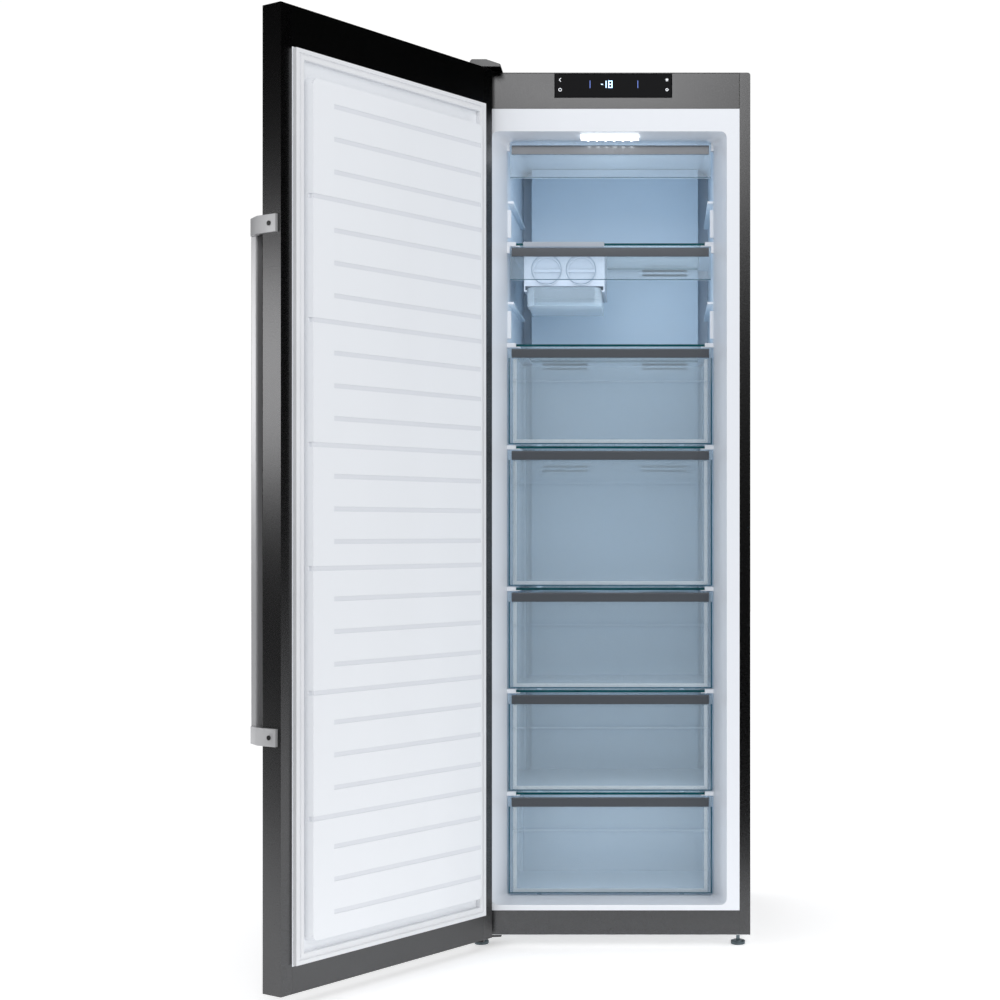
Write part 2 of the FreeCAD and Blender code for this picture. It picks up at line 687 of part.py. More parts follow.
def ice_tray(side):
    x = knob_axis(side)
    front, rear = tray_span()
    low = KNOB_Z - TRAY_H / 2
    high = KNOB_Z + TRAY_H / 2
    body = deep_box(x - TRAY_HALF, x + TRAY_HALF, front, rear, low, high)
    pitch = (rear - front - TRAY_WALL) / TRAY_CELLS
    cuts = []
    for index in range(TRAY_CELLS):
        start = front + TRAY_WALL + index * pitch
        cuts.append(deep_box(x - TRAY_HALF + TRAY_WALL, x + TRAY_HALF - TRAY_WALL,
                             start, start + pitch - TRAY_WALL, low + TRAY_WALL, high))
    cuts.append(deep_box(x - TRAY_HALF + TRAY_WALL, x + TRAY_HALF - TRAY_WALL,
                         front + TRAY_WALL, rear - TRAY_WALL, high - TRAY_RIM, high))
    back = Vec(x, depth(rear - 1), KNOB_Z)
    pin = cylinder(TRAY_PIN_R, back, Vec(x, depth(ICE_REAR_D - RUN_GAP), KNOB_Z))
    body = cut_all(body, cuts)
    return fuse_all([body, pin])


def ice_knob(side):
    x = knob_axis(side)
    front, rear = tray_span()
    disc = cylinder(KNOB_R, Vec(x, depth(KNOB_FRONT_D), KNOB_Z), Vec(x, depth(front), KNOB_Z))
    bite = cylinder(KNOB_R - 3, Vec(x, depth(KNOB_FRONT_D - 1), KNOB_Z),
                    Vec(x, depth(KNOB_FRONT_D + 4), KNOB_Z))
    bar = deep_box(x - KNOB_R + 2, x + KNOB_R - 2, KNOB_FRONT_D - 2, KNOB_FRONT_D + 5,
                   KNOB_Z - 3, KNOB_Z + 3)
    return fuse_all([disc.cut(bite), bar])


def bin_outline(half, front, rear, chamfer):
    left = ICE_MID_X - half
    right = ICE_MID_X + half
    return [(left, depth(rear)), (left, depth(front + chamfer)), (left + chamfer, depth(front)),
            (right - chamfer, depth(front)), (right, depth(front + chamfer)), (right, depth(rear))]


def ice_bin():
    rail_in = ICE_HALF - ICE_WALL
    half = rail_in - RAIL_LEDGE - RUN_GAP
    rear = ICE_REAR_D - ICE_WALL - TRAY_GAP
    high = ICE_LOW - BIN_TOP_GAP
    outer = prism_up(bin_outline(half, BIN_FRONT_D, rear, BIN_CHAMFER), BIN_LOW, high)
    inner = prism_up(bin_outline(half - BIN_WALL, BIN_FRONT_D + BIN_WALL, rear - BIN_WALL, BIN_CHAMFER),
                     BIN_LOW + BIN_WALL, high)
    rim_low = ICE_LOW - RAIL_DROP + ICE_WALL + RUN_GAP
    rims = []
    for side in (-1, 1):
        xs = sorted([ICE_MID_X + side * (half - BIN_WALL), ICE_MID_X + side * (rail_in - RUN_GAP)])
        rims.append(deep_box(xs[0], xs[1], BIN_FRONT_D + BIN_CHAMFER + 1, rear, rim_low, rim_low + BIN_RIM_T))
    return fuse_all([outer.cut(inner)] + rims)


# ---- cold air: cover, evaporator, fan ------------------------------------------------------
def evaporator_cover():
    top = THROAT_HIGH + (REAR_HIGH - THROAT_HIGH) * (COVER_D - THROAT_D) / (CAVITY_D - THROAT_D) - 1
    plate = deep_box(-COVER_HALF, COVER_HALF, COVER_D, COVER_D + COVER_T, HUMP_TOP + RUN_GAP, top)
    side = deep_box(COVER_HALF - COVER_T, COVER_HALF, COVER_D, CAVITY_D, HUMP_TOP + RUN_GAP, top)
    cuts = []
    for high in VENT_ROWS:
        for x0 in (-VENT_INNER - VENT_W, VENT_INNER):
            rows = [high, high - VENT_PITCH]
            cuts.append(deep_box(x0 - VENT_RECESS, x0 + VENT_W + VENT_RECESS, COVER_D - 1,
                                 COVER_D + VENT_RECESS_T, rows[-1] - VENT_RECESS, rows[0] + VENT_RECESS))
            for z in rows:
                cuts.append(deep_box(x0, x0 + VENT_W, COVER_D - 1, COVER_D + COVER_T + 1,
                                     z - VENT_H / 2, z + VENT_H / 2))
    return cut_all(fuse_all([plate, both_sides(side)]), cuts)


def evaporator():
    front = COVER_D + COVER_T + EVAP_GAP
    high = EVAP_LOW + EVAP_H
    pieces = []
    for index in range(EVAP_FINS):
        x = -EVAP_HALF + index * (2 * EVAP_HALF) / (EVAP_FINS - 1)
        rear = CAVITY_D if index in (0, EVAP_FINS - 1) else CAVITY_D - EVAP_GAP
        pieces.append(deep_box(x - FIN_T / 2, x + FIN_T / 2, front, rear, EVAP_LOW, high))
    for index in range(EVAP_TUBES):
        z = EVAP_LOW + (index + 0.5) * EVAP_H / EVAP_TUBES
        y = depth((front + CAVITY_D - EVAP_GAP) / 2)
        pieces.append(cylinder(EVAP_TUBE_R, Vec(-EVAP_HALF - 12, y, z), Vec(EVAP_HALF + 12, y, z)))
    return fuse_all(pieces)


def fan_axis(d):
    return Vec(0, depth(d), FAN_Z)


def fan_motor():
    can = cylinder(MOTOR_R, fan_axis(CAVITY_D - MOTOR_T), fan_axis(CAVITY_D))
    shaft = cylinder(SHAFT_R, fan_axis(COVER_D + COVER_T + EVAP_GAP), fan_axis(CAVITY_D - MOTOR_T + 1))
    return fuse_all([can, shaft])


def fan_blade():
    front = COVER_D + COVER_T + EVAP_GAP
    hub = cylinder(FAN_HUB_R, fan_axis(front), fan_axis(front + FAN_T))
    mid = front + FAN_T / 2
    pieces = [hub]
    for index in range(FAN_BLADES):
        blade = box(-9, 9, -0.8, 0.8, FAN_HUB_R - 1, FAN_R)
        blade.rotate(Vec(0, 0, 0), Z_AXIS, FAN_PITCH_DEG)
        blade.rotate(Vec(0, 0, 0), Y_AXIS, index * 360 / FAN_BLADES)
        blade.translate(fan_axis(mid))
        pieces.append(blade)
    bore = cylinder(SHAFT_R + SHAFT_PLAY, fan_axis(front - 1), fan_axis(front + FAN_T + 1))
    return fuse_all(pieces).cut(bore)


# ---- compressor bay ------------------------------------------------------------------------
def compressor():
    pot = Part.makeCylinder(POT_R, POT_H, Vec(POT_X, depth(POT_D), POT_LOW))
    rims = [e for e in pot.Edges if isinstance(e.Curve, Part.Circle)]
    pot = pot.makeFillet(POT_FILLET, rims)
    plate = deep_box(POT_X - POT_PLATE_W / 2, POT_X + POT_PLATE_W / 2, POT_D - POT_PLATE_D / 2,
                     POT_D + POT_PLATE_D / 2, POT_LOW - POT_PLATE_T, POT_LOW + 1)
    wiring = deep_box(POT_X + POT_R - 12, POT_X + POT_R + 18, POT_D - 25, POT_D + 25,
                      POT_LOW + 50, POT_LOW + 110)
    return fuse_all([pot, plate, wiring])


def compressor_grommets():
    top = POT_LOW - POT_PLATE_T
    pads = []
    for x in (-1, 1):
        for d in (-1, 1):
            centre = Vec(POT_X + x * (POT_PLATE_W / 2 - GROMMET_INSET),
                         depth(POT_D + d * (POT_PLATE_D / 2 - GROMMET_INSET)), BASE_TOP)
            pads.append(Part.makeCone(GROMMET_R, GROMMET_R - 2, top - BASE_TOP, centre, Z_AXIS))
    return pads


def drip_tray():
    low = POT_LOW + POT_H
    outer = deep_box(POT_X - DRIP_W / 2, POT_X + DRIP_W / 2, POT_D - DRIP_L / 2, POT_D + DRIP_L / 2,
                     low, low + DRIP_H)
    inner = deep_box(POT_X - DRIP_W / 2 + DRIP_WALL, POT_X + DRIP_W / 2 - DRIP_WALL,
                     POT_D - DRIP_L / 2 + DRIP_WALL, POT_D + DRIP_L / 2 - DRIP_WALL,
                     low + DRIP_WALL, low + DRIP_H)
    return outer.cut(inner)


def return_bend(x, z, turn):
    """Half ring of tube that joins one run of the coil to the run above it."""
    circle = Part.makeCircle(COIL_R, Vec(x, depth(COIL_D), z), X_AXIS)
    face = Part.Face(Part.Wire(circle))
    middle = Vec(x, depth(COIL_D), z + COIL_PITCH / 2)
    return face.revolve(middle, Y_AXIS * turn, 180)


def condenser_coil(pot):
    pieces = []
    for row in range(COIL_ROWS):
        z = COIL_LOW + row * COIL_PITCH
        right = POT_X if row == 0 else COIL_RIGHT
        pieces.append(cylinder(COIL_R, Vec(COIL_LEFT, depth(COIL_D), z), Vec(right, depth(COIL_D), z)))
        if row < COIL_ROWS - 1:
            at_left = row % 2 == 0
            pieces.append(return_bend(COIL_LEFT if at_left else COIL_RIGHT, z, 1 if at_left else -1))
    top = COIL_LOW + (COIL_ROWS - 1) * COIL_PITCH
    start = Vec(COIL_RIGHT, depth(COIL_D), top)
    pieces.append(cylinder(DRIER_R, start, start + X_AXIS * DRIER_L))
    for x in COIL_STRUT_X:
        pieces.append(deep_box(x - 1, x + 1, COIL_D - COIL_STRUT_W / 2, COIL_D + COIL_STRUT_W / 2,
                               BASE_TOP, top + 12))
    return fuse_all(pieces).cut(pot)


# ---- hinges --------------------------------------------------------------------------------
def hinge_outline():
    """Plate on the cabinet with a nose that reaches forward to the hinge axis."""
    nose_y = PIVOT_Y - HINGE_NOSE
    nose_right = PIVOT_X + HINGE_NOSE + 4
    return [(HINGE_LEFT, nose_y + 4), (HINGE_LEFT + 4, nose_y), (nose_right, nose_y),
            (nose_right, depth(-2)), (HINGE_RIGHT, depth(HINGE_FRONT_D)),
            (HINGE_RIGHT, depth(HINGE_REAR_D)), (HINGE_LEFT, depth(HINGE_REAR_D))]


def top_hinge():
    plate = prism_up(hinge_outline(), CABINET_TOP, CABINET_TOP + HINGE_T)
    top = Vec(PIVOT_X, PIVOT_Y, CABINET_TOP + 1)
    pin = cylinder(HINGE_PIN_R, Vec(PIVOT_X, PIVOT_Y, DOOR_TOP - HINGE_PIN_L), top)
    return cut_all(fuse_all([plate, pin]), hinge_screw_cuts(SCREW_PLAY))


def bottom_hinge():
    low = CABINET_BOTTOM - LOW_HINGE_T
    plate = prism_up(hinge_outline(), low, CABINET_BOTTOM)
    pin = cylinder(HINGE_PIN_R, Vec(PIVOT_X, PIVOT_Y, low + 1), Vec(PIVOT_X, PIVOT_Y, DOOR_LOW + HINGE_PIN_L))
    foot = cylinder(FOOT_HOLE_R, Vec(-FOOT_X, depth(FOOT_D), 0), Vec(-FOOT_X, depth(FOOT_D), FOOT_STEM_TOP))
    return cut_all(fuse_all([plate, pin]), [foot] + hinge_screw_cuts(SCREW_PLAY))


def hinge_cover():
    """Cap over the top hinge, sloping away towards the middle of the cabinet."""
    low = CABINET_TOP
    high = CABINET_TOP + HINGE_COVER_H

    def hood(shrink):
        left = HINGE_LEFT - HINGE_COVER_GAP - HINGE_COVER_WALL + shrink
        right = HINGE_RIGHT + HINGE_COVER_GAP + HINGE_COVER_WALL - shrink
        front = PIVOT_Y - HINGE_NOSE - HINGE_COVER_GAP - HINGE_COVER_WALL + shrink
        rear = depth(HINGE_REAR_D) + HINGE_COVER_GAP + HINGE_COVER_WALL - shrink
        top = high - shrink
        outline = [(left, low), (right, low), (right, low + 6 - shrink), (right - HINGE_COVER_SLOPE, top),
                   (left + 4, top), (left, top - 4)]
        return prism([Vec(x, front, z) for x, z in outline], Y_AXIS * (rear - front))

    return hood(0).cut(hood(HINGE_COVER_WALL))


def hinge_screws():
    screws = []
    for x, d in HINGE_SCREWS:
        top = Vec(x, depth(d), CABINET_TOP + HINGE_T)
        low = Vec(x, depth(d), CABINET_BOTTOM - LOW_HINGE_T)
        for seat, out in ((top, 1), (low, -1)):
            head = cylinder(SCREW_HEAD_R, seat, seat + Z_AXIS * (out * SCREW_HEAD_H))
            shank = cylinder(SCREW_R, seat, seat - Z_AXIS * (out * SCREW_L))
            screws.append(fuse_all([head, shank]))
    return screws


# ---- feet and rollers ----------------------------------------------------------------------
def foot_inserts():
    inserts = []
    for x in (-FOOT_X, FOOT_X):
        base = Vec(x, depth(FOOT_D), BASE_TOP)
        body = cylinder(FOOT_INSERT_R, base, base + Z_AXIS * FOOT_INSERT_H)
        bore = cylinder(FOOT_STEM_R + STEM_PLAY, base, Vec(x, depth(FOOT_D), FOOT_STEM_TOP + RUN_GAP))
        inserts.append(body.cut(bore))
    return inserts


def foot(x):
    floor = Vec(x, depth(FOOT_D), 0)
    pad = Part.makeCone(FOOT_PAD_R, FOOT_PAD_R - 3, FOOT_PAD_H, floor, Z_AXIS)
    stem = cylinder(FOOT_STEM_R, floor + Z_AXIS * (FOOT_PAD_H - 1), Vec(x, depth(FOOT_D), FOOT_STEM_TOP))
    return fuse_all([pad, stem])


def roller_brackets():
    reach = ROLLER_W / 2 + ROLLER_SIDE_GAP + BRACKET_T
    brackets = []
    for x in (-ROLLER_X, ROLLER_X):
        plate = deep_box(x - reach, x + reach, ROLLER_D - BRACKET_HALF_D, ROLLER_D + BRACKET_HALF_D,
                         CABINET_BOTTOM - BRACKET_T, CABINET_BOTTOM)
        pieces = [plate]
        for x0 in (x - reach, x + reach - BRACKET_T):
            pieces.append(deep_box(x0, x0 + BRACKET_T, ROLLER_D - BRACKET_HALF_D, ROLLER_D + BRACKET_HALF_D,
                                   BRACKET_LOW, CABINET_BOTTOM))
        axle = Vec(x - reach, depth(ROLLER_D), ROLLER_R)
        pieces.append(cylinder(AXLE_R, axle, axle + X_AXIS * (2 * reach)))
        brackets.append(fuse_all(pieces))
    return brackets


def roller(x):
    start = Vec(x - ROLLER_W / 2, depth(ROLLER_D), ROLLER_R)
    end = start + X_AXIS * ROLLER_W
    return cylinder(ROLLER_R, start, end).cut(cylinder(AXLE_R + AXLE_PLAY, start, end))


# ---- door, drawn closed --------------------------------------------------------------------
def opened(shape):
    """Turn a piece of the closed door to the angle at which it stands open."""
    turned = shape.copy()
    turned.rotate(Vec(PIVOT_X, PIVOT_Y, 0), Z_AXIS, -DOOR_REST_DEG)
    return turned


def door_box(u0, u1, e0, e1, z0, z1):
    """Block in the door: u from the hinge edge, e in from the outer face."""
    return box(-HALF_W + u0, -HALF_W + u1, DOOR_OUT + e0, DOOR_OUT + e1, z0, z1)


def door_block(inset, z0, z1):
    """The door's section with its two outer corners bent round."""
    solid = door_box(inset, CABINET_W - inset, inset, DOOR_T, z0, z1)
    edges = [e for e in solid.Edges if abs(e.tangentAt(e.FirstParameter).z) > 0.99
             and e.CenterOfMass.y < DOOR_OUT + DOOR_T / 2]
    return solid.makeFillet(DOOR_BEND - inset, edges)


def door_skin():
    shell = door_block(0, DOOR_LOW, DOOR_TOP).cut(door_block(SHEET, DOOR_LOW, DOOR_TOP))
    flange = door_box(SHEET / 2, DOOR_FLANGE_W, DOOR_T - SHEET, DOOR_T, DOOR_LOW, DOOR_TOP)
    bar_screws = handle_screw_holes(HANDLE_SCREW_R)
    return cut_all(fuse_all([shell, both_sides(flange)]), bar_screws)


def hinge_boss(radius, z0, z1):
    return cylinder(radius, Vec(PIVOT_X, PIVOT_Y, z0), Vec(PIVOT_X, PIVOT_Y, z1))


def door_cap(at_top):
    high = DOOR_TOP if at_top else DOOR_LOW + DOOR_CAP_LOW_H
    low = DOOR_TOP - DOOR_CAP_TOP_H if at_top else DOOR_LOW
    lid = (DOOR_TOP - DOOR_CAP_T, DOOR_TOP) if at_top else (DOOR_LOW, DOOR_LOW + DOOR_CAP_T)
    hub = (DOOR_TOP - BUSH_L, DOOR_TOP) if at_top else (DOOR_LOW, DOOR_LOW + BUSH_L)
    within = door_block(SHEET, low, high).common(door_box(0, CABINET_W, 0, DOOR_T - SHEET, low, high))
    cover = within.common(door_box(0, CABINET_W, 0, DOOR_T, lid[0], lid[1]))
    face = door_box(DOOR_FLANGE_W, CABINET_W - DOOR_FLANGE_W, DOOR_T - DOOR_CAP_T, DOOR_T, low, high)
    boss = hinge_boss(BUSH_R + BOSS_WALL, hub[0], hub[1])
    return fuse_all([cover, face, boss]).cut(hinge_boss(BUSH_R, hub[0], hub[1]))


def door_bushes():
    bushes = []
    for low in (DOOR_TOP - BUSH_L, DOOR_LOW):
        bore = hinge_boss(HINGE_PIN_R + HINGE_PLAY, low, low + BUSH_L)
        bushes.append(hinge_boss(BUSH_R, low, low + BUSH_L).cut(bore))
    return bushes


def raised_panel(shrink, start_e):
    """The proud part of the door's inner panel, tapering towards its face."""
    def ring(e, taper):
        inset = shrink + taper
        return rounded_frame(HALF_W - PANEL_INSET - inset, PANEL_LOW + inset, PANEL_HIGH - inset,
                             PANEL_R - inset, PANEL_R - inset, DOOR_OUT + e)

    face_e = DOOR_T + PANEL_PROUD - shrink
    return Part.makeLoft([ring(start_e, 0), ring(face_e, PANEL_TAPER)], True, True)


def groove_bands():
    """Low and high of every rib groove: three to a section of the panel."""
    bands = []
    for top in [PANEL_HIGH + 10] + SECTION_LINES:
        for index in range(RIBS_PER_SECTION):
            mid = top - FIRST_RIB_DROP - index * RIB_PITCH
            bands.append((mid - RIB_H / 2, mid + RIB_H / 2))
    return bands


def door_liner():
    sheet = door_box(DOOR_FLANGE_W, CABINET_W - DOOR_FLANGE_W, DOOR_T - DOOR_LINER_T, DOOR_T,
                     DOOR_LOW + DOOR_CAP_LOW_H, DOOR_TOP - DOOR_CAP_TOP_H)
    outer = raised_panel(0, DOOR_T)
    inner = raised_panel(PANEL_WALL, DOOR_T - DOOR_LINER_T - 1)
    body = fuse_all([sheet, outer]).cut(inner)
    face = DOOR_T + PANEL_PROUD
    cuts = []
    for low, high in groove_bands():
        if low > PANEL_LOW + PANEL_TAPER:
            cuts.append(door_box(RIB_SHORT_HINGE, CABINET_W - RIB_SHORT_FREE, face - GROOVE_T, face + 1, low, high))
    for line in SECTION_LINES:
        low = line - SECTION_LINE_H / 2
        high = line + SECTION_LINE_H / 2
        cuts.append(door_box(0, CABINET_W, face - GROOVE_T, face + 1, low, high))
        free = CABINET_W - PANEL_INSET
        cuts.append(door_box(free - PANEL_TAPER - NOTCH_T, free + 1, DOOR_T + PANEL_PROUD / 2, face + 1, low, high))
    return cut_all(body, cuts)


def door_foam():
    core = door_block(SHEET, DOOR_LOW + DOOR_CAP_T, DOOR_TOP - DOOR_CAP_T)
    core = core.common(door_box(0, CABINET_W, 0, DOOR_T - DOOR_CAP_T, 0, CABINET_TOP))
    raised = raised_panel(PANEL_WALL, DOOR_T - DOOR_CAP_T)
    return fuse_all([core, raised])


def door_gasket():
    def ring(extra, e0, e1):
        low = DOOR_LOW + DOOR_CAP_LOW_H + 2 + extra
        high = DOOR_TOP - DOOR_CAP_TOP_H - 2 - extra
        outer = door_box(GASKET_INSET + extra, CABINET_W - GASKET_INSET - extra, e0, e1, low, high)
        wide = GASKET_W - 2 * extra
        inner = door_box(GASKET_INSET + extra + wide, CABINET_W - GASKET_INSET - extra - wide, e0 - 1, e1 + 1,
                         low + wide, high - wide)
        return outer.cut(inner)

    body = ring(0, DOOR_T, DOOR_T + GASKET_T)
    groove = ring((GASKET_W - GASKET_GROOVE_W) / 2, DOOR_T + GASKET_T - GASKET_GROOVE_T, DOOR_T + GASKET_T + 1)
    return body.cut(groove)


# ---- handle --------------------------------------------------------------------------------
def handle_levels():
    return (HANDLE_LOW, HANDLE_TOP - HANDLE_BRACKET_H)


def handle_screw_holes(radius):
    cuts = []
    for low in handle_levels():
        z = low + HANDLE_BRACKET_H / 2
        start = Vec(HALF_W + HANDLE_PLATE_T, DOOR_OUT + HANDLE_SCREW_E, z)
        cuts.append(cylinder(radius, start - X_AXIS * (HANDLE_PLATE_T + HANDLE_SCREW_L), start))
    return cuts


def handle_bar():
    right = HALF_W - BAR_INSET
    left = right - BAR_W
    near = DOOR_OUT - HANDLE_STAND
    bar = box(left, right, near - BAR_W, near, HANDLE_LOW + HANDLE_BRACKET_H, HANDLE_TOP - HANDLE_BRACKET_H)
    upright = [e for e in bar.Edges if abs(e.tangentAt(e.FirstParameter).z) > 0.99]
    return bar.makeChamfer(BAR_CHAMFER, upright)


def handle_bracket(low):
    """Plate on the door's free edge with a sloping arm out to the bar."""
    right = HALF_W - BAR_INSET
    left = right - BAR_W
    near = DOOR_OUT - HANDLE_STAND
    far = near - BAR_W
    plate = HALF_W + HANDLE_PLATE_T
    outline = [(HALF_W, DOOR_OUT + HANDLE_PLATE_REACH), (plate, DOOR_OUT + HANDLE_PLATE_REACH),
               (plate, DOOR_OUT - 8), (right, far), (left, far), (left, near), (right - 4, near),
               (HALF_W, DOOR_OUT - 3)]
    return prism_up(outline, low, low + HANDLE_BRACKET_H)


def handle_brackets():
    return [cut_all(handle_bracket(low), handle_screw_holes(HANDLE_SCREW_R)) for low in handle_levels()]


def handle_screws():
    screws = []
    for low in handle_levels():
        z = low + HANDLE_BRACKET_H / 2
        seat = Vec(HALF_W + HANDLE_PLATE_T, DOOR_OUT + HANDLE_SCREW_E, z)
        shank = cylinder(HANDLE_SCREW_R, seat - X_AXIS * (HANDLE_PLATE_T + HANDLE_SCREW_L), seat)
        head = cylinder(HANDLE_SCREW_HEAD_R, seat, seat + X_AXIS * 1.5)
        screws.append(fuse_all([head, shank]))
    return screws


# ---- build ---------------------------------------------------------------------------------
def build():
    os.makedirs("parts", exist_ok=True)
    export("cabinet_shell", cabinet_shell())
    export("top_fascia", top_fascia())
    export("control_glass", control_glass())
    export("control_board", control_board())
    export("bottom_rail", bottom_rail())
    export("base_plate", base_plate())
    export("rear_panel", rear_panel())
    export("bay_liner", bay_liner())
    export("bay_cover", bay_cover())
    export("cord_gland", cord_gland())
    export("inner_liner", inner_liner())
    export("insulation_foam", insulation_foam())
    export("glass_shelves", glass_shelves())
    export("led_lamp", led_lamp())
    for number, top in enumerate(FLAP_TOPS, 1):
        export("flap_%d" % number, flap(top))
        export("flap_trim_%d" % number, trim_strip(top))
    for number, (top, low, rear) in enumerate(zip(DRAWER_TOPS, DRAWER_LOWS, TUB_REARS), 1):
        export("drawer_%d" % number, drawer(top, low, rear))
        export("drawer_trim_%d" % number, trim_strip(top))
    export("ice_frame", ice_frame())
    export("ice_bin", ice_bin())
    for name, side in (("left", -1), ("right", 1)):
        export("ice_tray_" + name, ice_tray(side))
        export("ice_knob_" + name, ice_knob(side))
    export("evaporator_cover", evaporator_cover())
    export("evaporator", evaporator())
    export("fan_motor", fan_motor())
    export("fan_blade", fan_blade())
    pot = compressor()
    export("compressor", pot)
    export("compressor_grommets", compressor_grommets())
    export("drip_tray", drip_tray())
    export("condenser_coil", condenser_coil(pot))
    export("door_hinges", [top_hinge(), bottom_hinge()])
    export("top_hinge_cover", hinge_cover())
    export("hinge_screws", hinge_screws())
    export("foot_inserts", foot_inserts())
    export("foot_left", foot(-FOOT_X))
    export("foot_right", foot(FOOT_X))
    export("roller_brackets", roller_brackets())
    export("roller_left", roller(-ROLLER_X))
    export("roller_right", roller(ROLLER_X))
    export("door_skin", opened(door_skin()))
    export("door_end_caps", [opened(door_cap(True)), opened(door_cap(False))])
    export("door_bushes", [opened(bush) for bush in door_bushes()])
    export("door_liner", opened(door_liner()))
    holes = Part.makeCompound(handle_screw_holes(HANDLE_SCREW_R))
    hubs = [hinge_boss(BUSH_R, DOOR_TOP - BUSH_L, DOOR_TOP), hinge_boss(BUSH_R, DOOR_LOW, DOOR_LOW + BUSH_L)]
    core = door_foam().cut(Part.makeCompound([door_cap(True), door_cap(False)] + hubs))
    core = core.cut(door_liner()).cut(holes)
    export("door_foam", opened(max(core.Solids, key=lambda solid: solid.Volume)))
    export("door_gasket", opened(door_gasket()))
    export("handle_bar", opened(handle_bar()))
    export("handle_brackets", [opened(bracket) for bracket in handle_brackets()])
    export("handle_screws", [opened(screw) for screw in handle_screws()])


build()
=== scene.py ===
"""Upright frost-free freezer standing open: finishes, small parts, light and camera.

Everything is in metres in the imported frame: +X right, +Y back, +Z up, the floor at Z = 0.
"""
import json
import math

import bmesh
import bpy
from mathutils import Matrix, Vector


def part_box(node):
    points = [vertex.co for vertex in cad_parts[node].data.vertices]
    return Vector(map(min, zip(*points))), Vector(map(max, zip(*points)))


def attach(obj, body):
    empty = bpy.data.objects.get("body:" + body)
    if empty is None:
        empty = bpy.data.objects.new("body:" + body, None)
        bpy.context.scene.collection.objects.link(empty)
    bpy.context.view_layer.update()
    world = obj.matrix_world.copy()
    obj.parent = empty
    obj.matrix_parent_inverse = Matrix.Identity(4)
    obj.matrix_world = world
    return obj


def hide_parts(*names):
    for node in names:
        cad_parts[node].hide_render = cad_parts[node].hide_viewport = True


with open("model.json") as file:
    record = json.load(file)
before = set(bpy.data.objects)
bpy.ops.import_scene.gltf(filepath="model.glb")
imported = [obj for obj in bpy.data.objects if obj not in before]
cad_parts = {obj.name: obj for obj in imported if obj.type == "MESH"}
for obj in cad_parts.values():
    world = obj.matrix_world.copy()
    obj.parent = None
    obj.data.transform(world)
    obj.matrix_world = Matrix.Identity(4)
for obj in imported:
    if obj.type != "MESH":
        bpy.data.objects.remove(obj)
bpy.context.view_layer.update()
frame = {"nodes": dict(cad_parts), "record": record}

nodes = frame["nodes"]
scene = bpy.context.scene
body_of = {node: body
           for body, members in frame["record"]["behaviour"]["bodies"].items() for node in members}
HOME = Vector((-0.275, 0.260, 0.0))    # the middle of the cabinet, on the floor
MID = HOME.x


# ---- camera --------------------------------------------------------------------------------
def set_camera():
    camera = bpy.data.objects.new("camera", bpy.data.cameras.new("camera"))
    scene.collection.objects.link(camera)
    camera.location = HOME + Vector((0.110, -4.152, 0.883))
    camera.rotation_euler = (math.radians(90), 0, 0)
    camera.data.sensor_width = 36
    camera.data.lens = 65.3
    camera.data.shift_x = -0.161
    camera.data.shift_y = 0.032
    scene.camera = camera


# ---- finishes ------------------------------------------------------------------------------
def node_of(material, kind, **settings):
    made = material.node_tree.nodes.new(kind)
    for key, value in settings.items():
        setattr(made, key, value)
    return made


def scaled(colour, share):
    return tuple(min(1.0, part * share) for part in colour[:3]) + (1.0,)


def bare_finish(name):
    material = bpy.data.materials.new(name)
    material.use_nodes = True
    return material, material.node_tree.nodes["Principled BSDF"], material.node_tree.links


def spread_of(material, stretch):
    """Object coordinates, stretched along the way the finish runs."""
    place = node_of(material, "ShaderNodeTexCoord")
    spread = node_of(material, "ShaderNodeMapping")
    spread.inputs["Scale"].default_value = stretch
    material.node_tree.links.new(place.outputs["Object"], spread.inputs["Vector"])
    return spread.outputs["Vector"]


def noise_of(material, vector, scale, detail=3.0):
    noise = node_of(material, "ShaderNodeTexNoise")
    noise.inputs["Scale"].default_value = scale
    noise.inputs["Detail"].default_value = detail
    material.node_tree.links.new(vector, noise.inputs["Vector"])
    return noise.outputs["Fac"]


def ranged(material, value, low, high, start=0.0, end=1.0):
    spread = node_of(material, "ShaderNodeMapRange")
    for socket, number in (("From Min", start), ("From Max", end), ("To Min", low), ("To Max", high)):
        spread.inputs[socket].default_value = number
    material.node_tree.links.new(value, spread.inputs["Value"])
    return spread.outputs["Result"]


def mixed(material, share, first, second):
    mix = node_of(material, "ShaderNodeMix", data_type="RGBA")
    links = material.node_tree.links
    links.new(share, mix.inputs["Factor"])
    for socket, colour in (("A", first), ("B", second)):
        target = [i for i in mix.inputs if i.name == socket and i.type == "RGBA"][0]
        if isinstance(colour, tuple):
            target.default_value = colour
        else:
            links.new(colour, target)
    return [o for o in mix.outputs if o.type == "RGBA"][0]


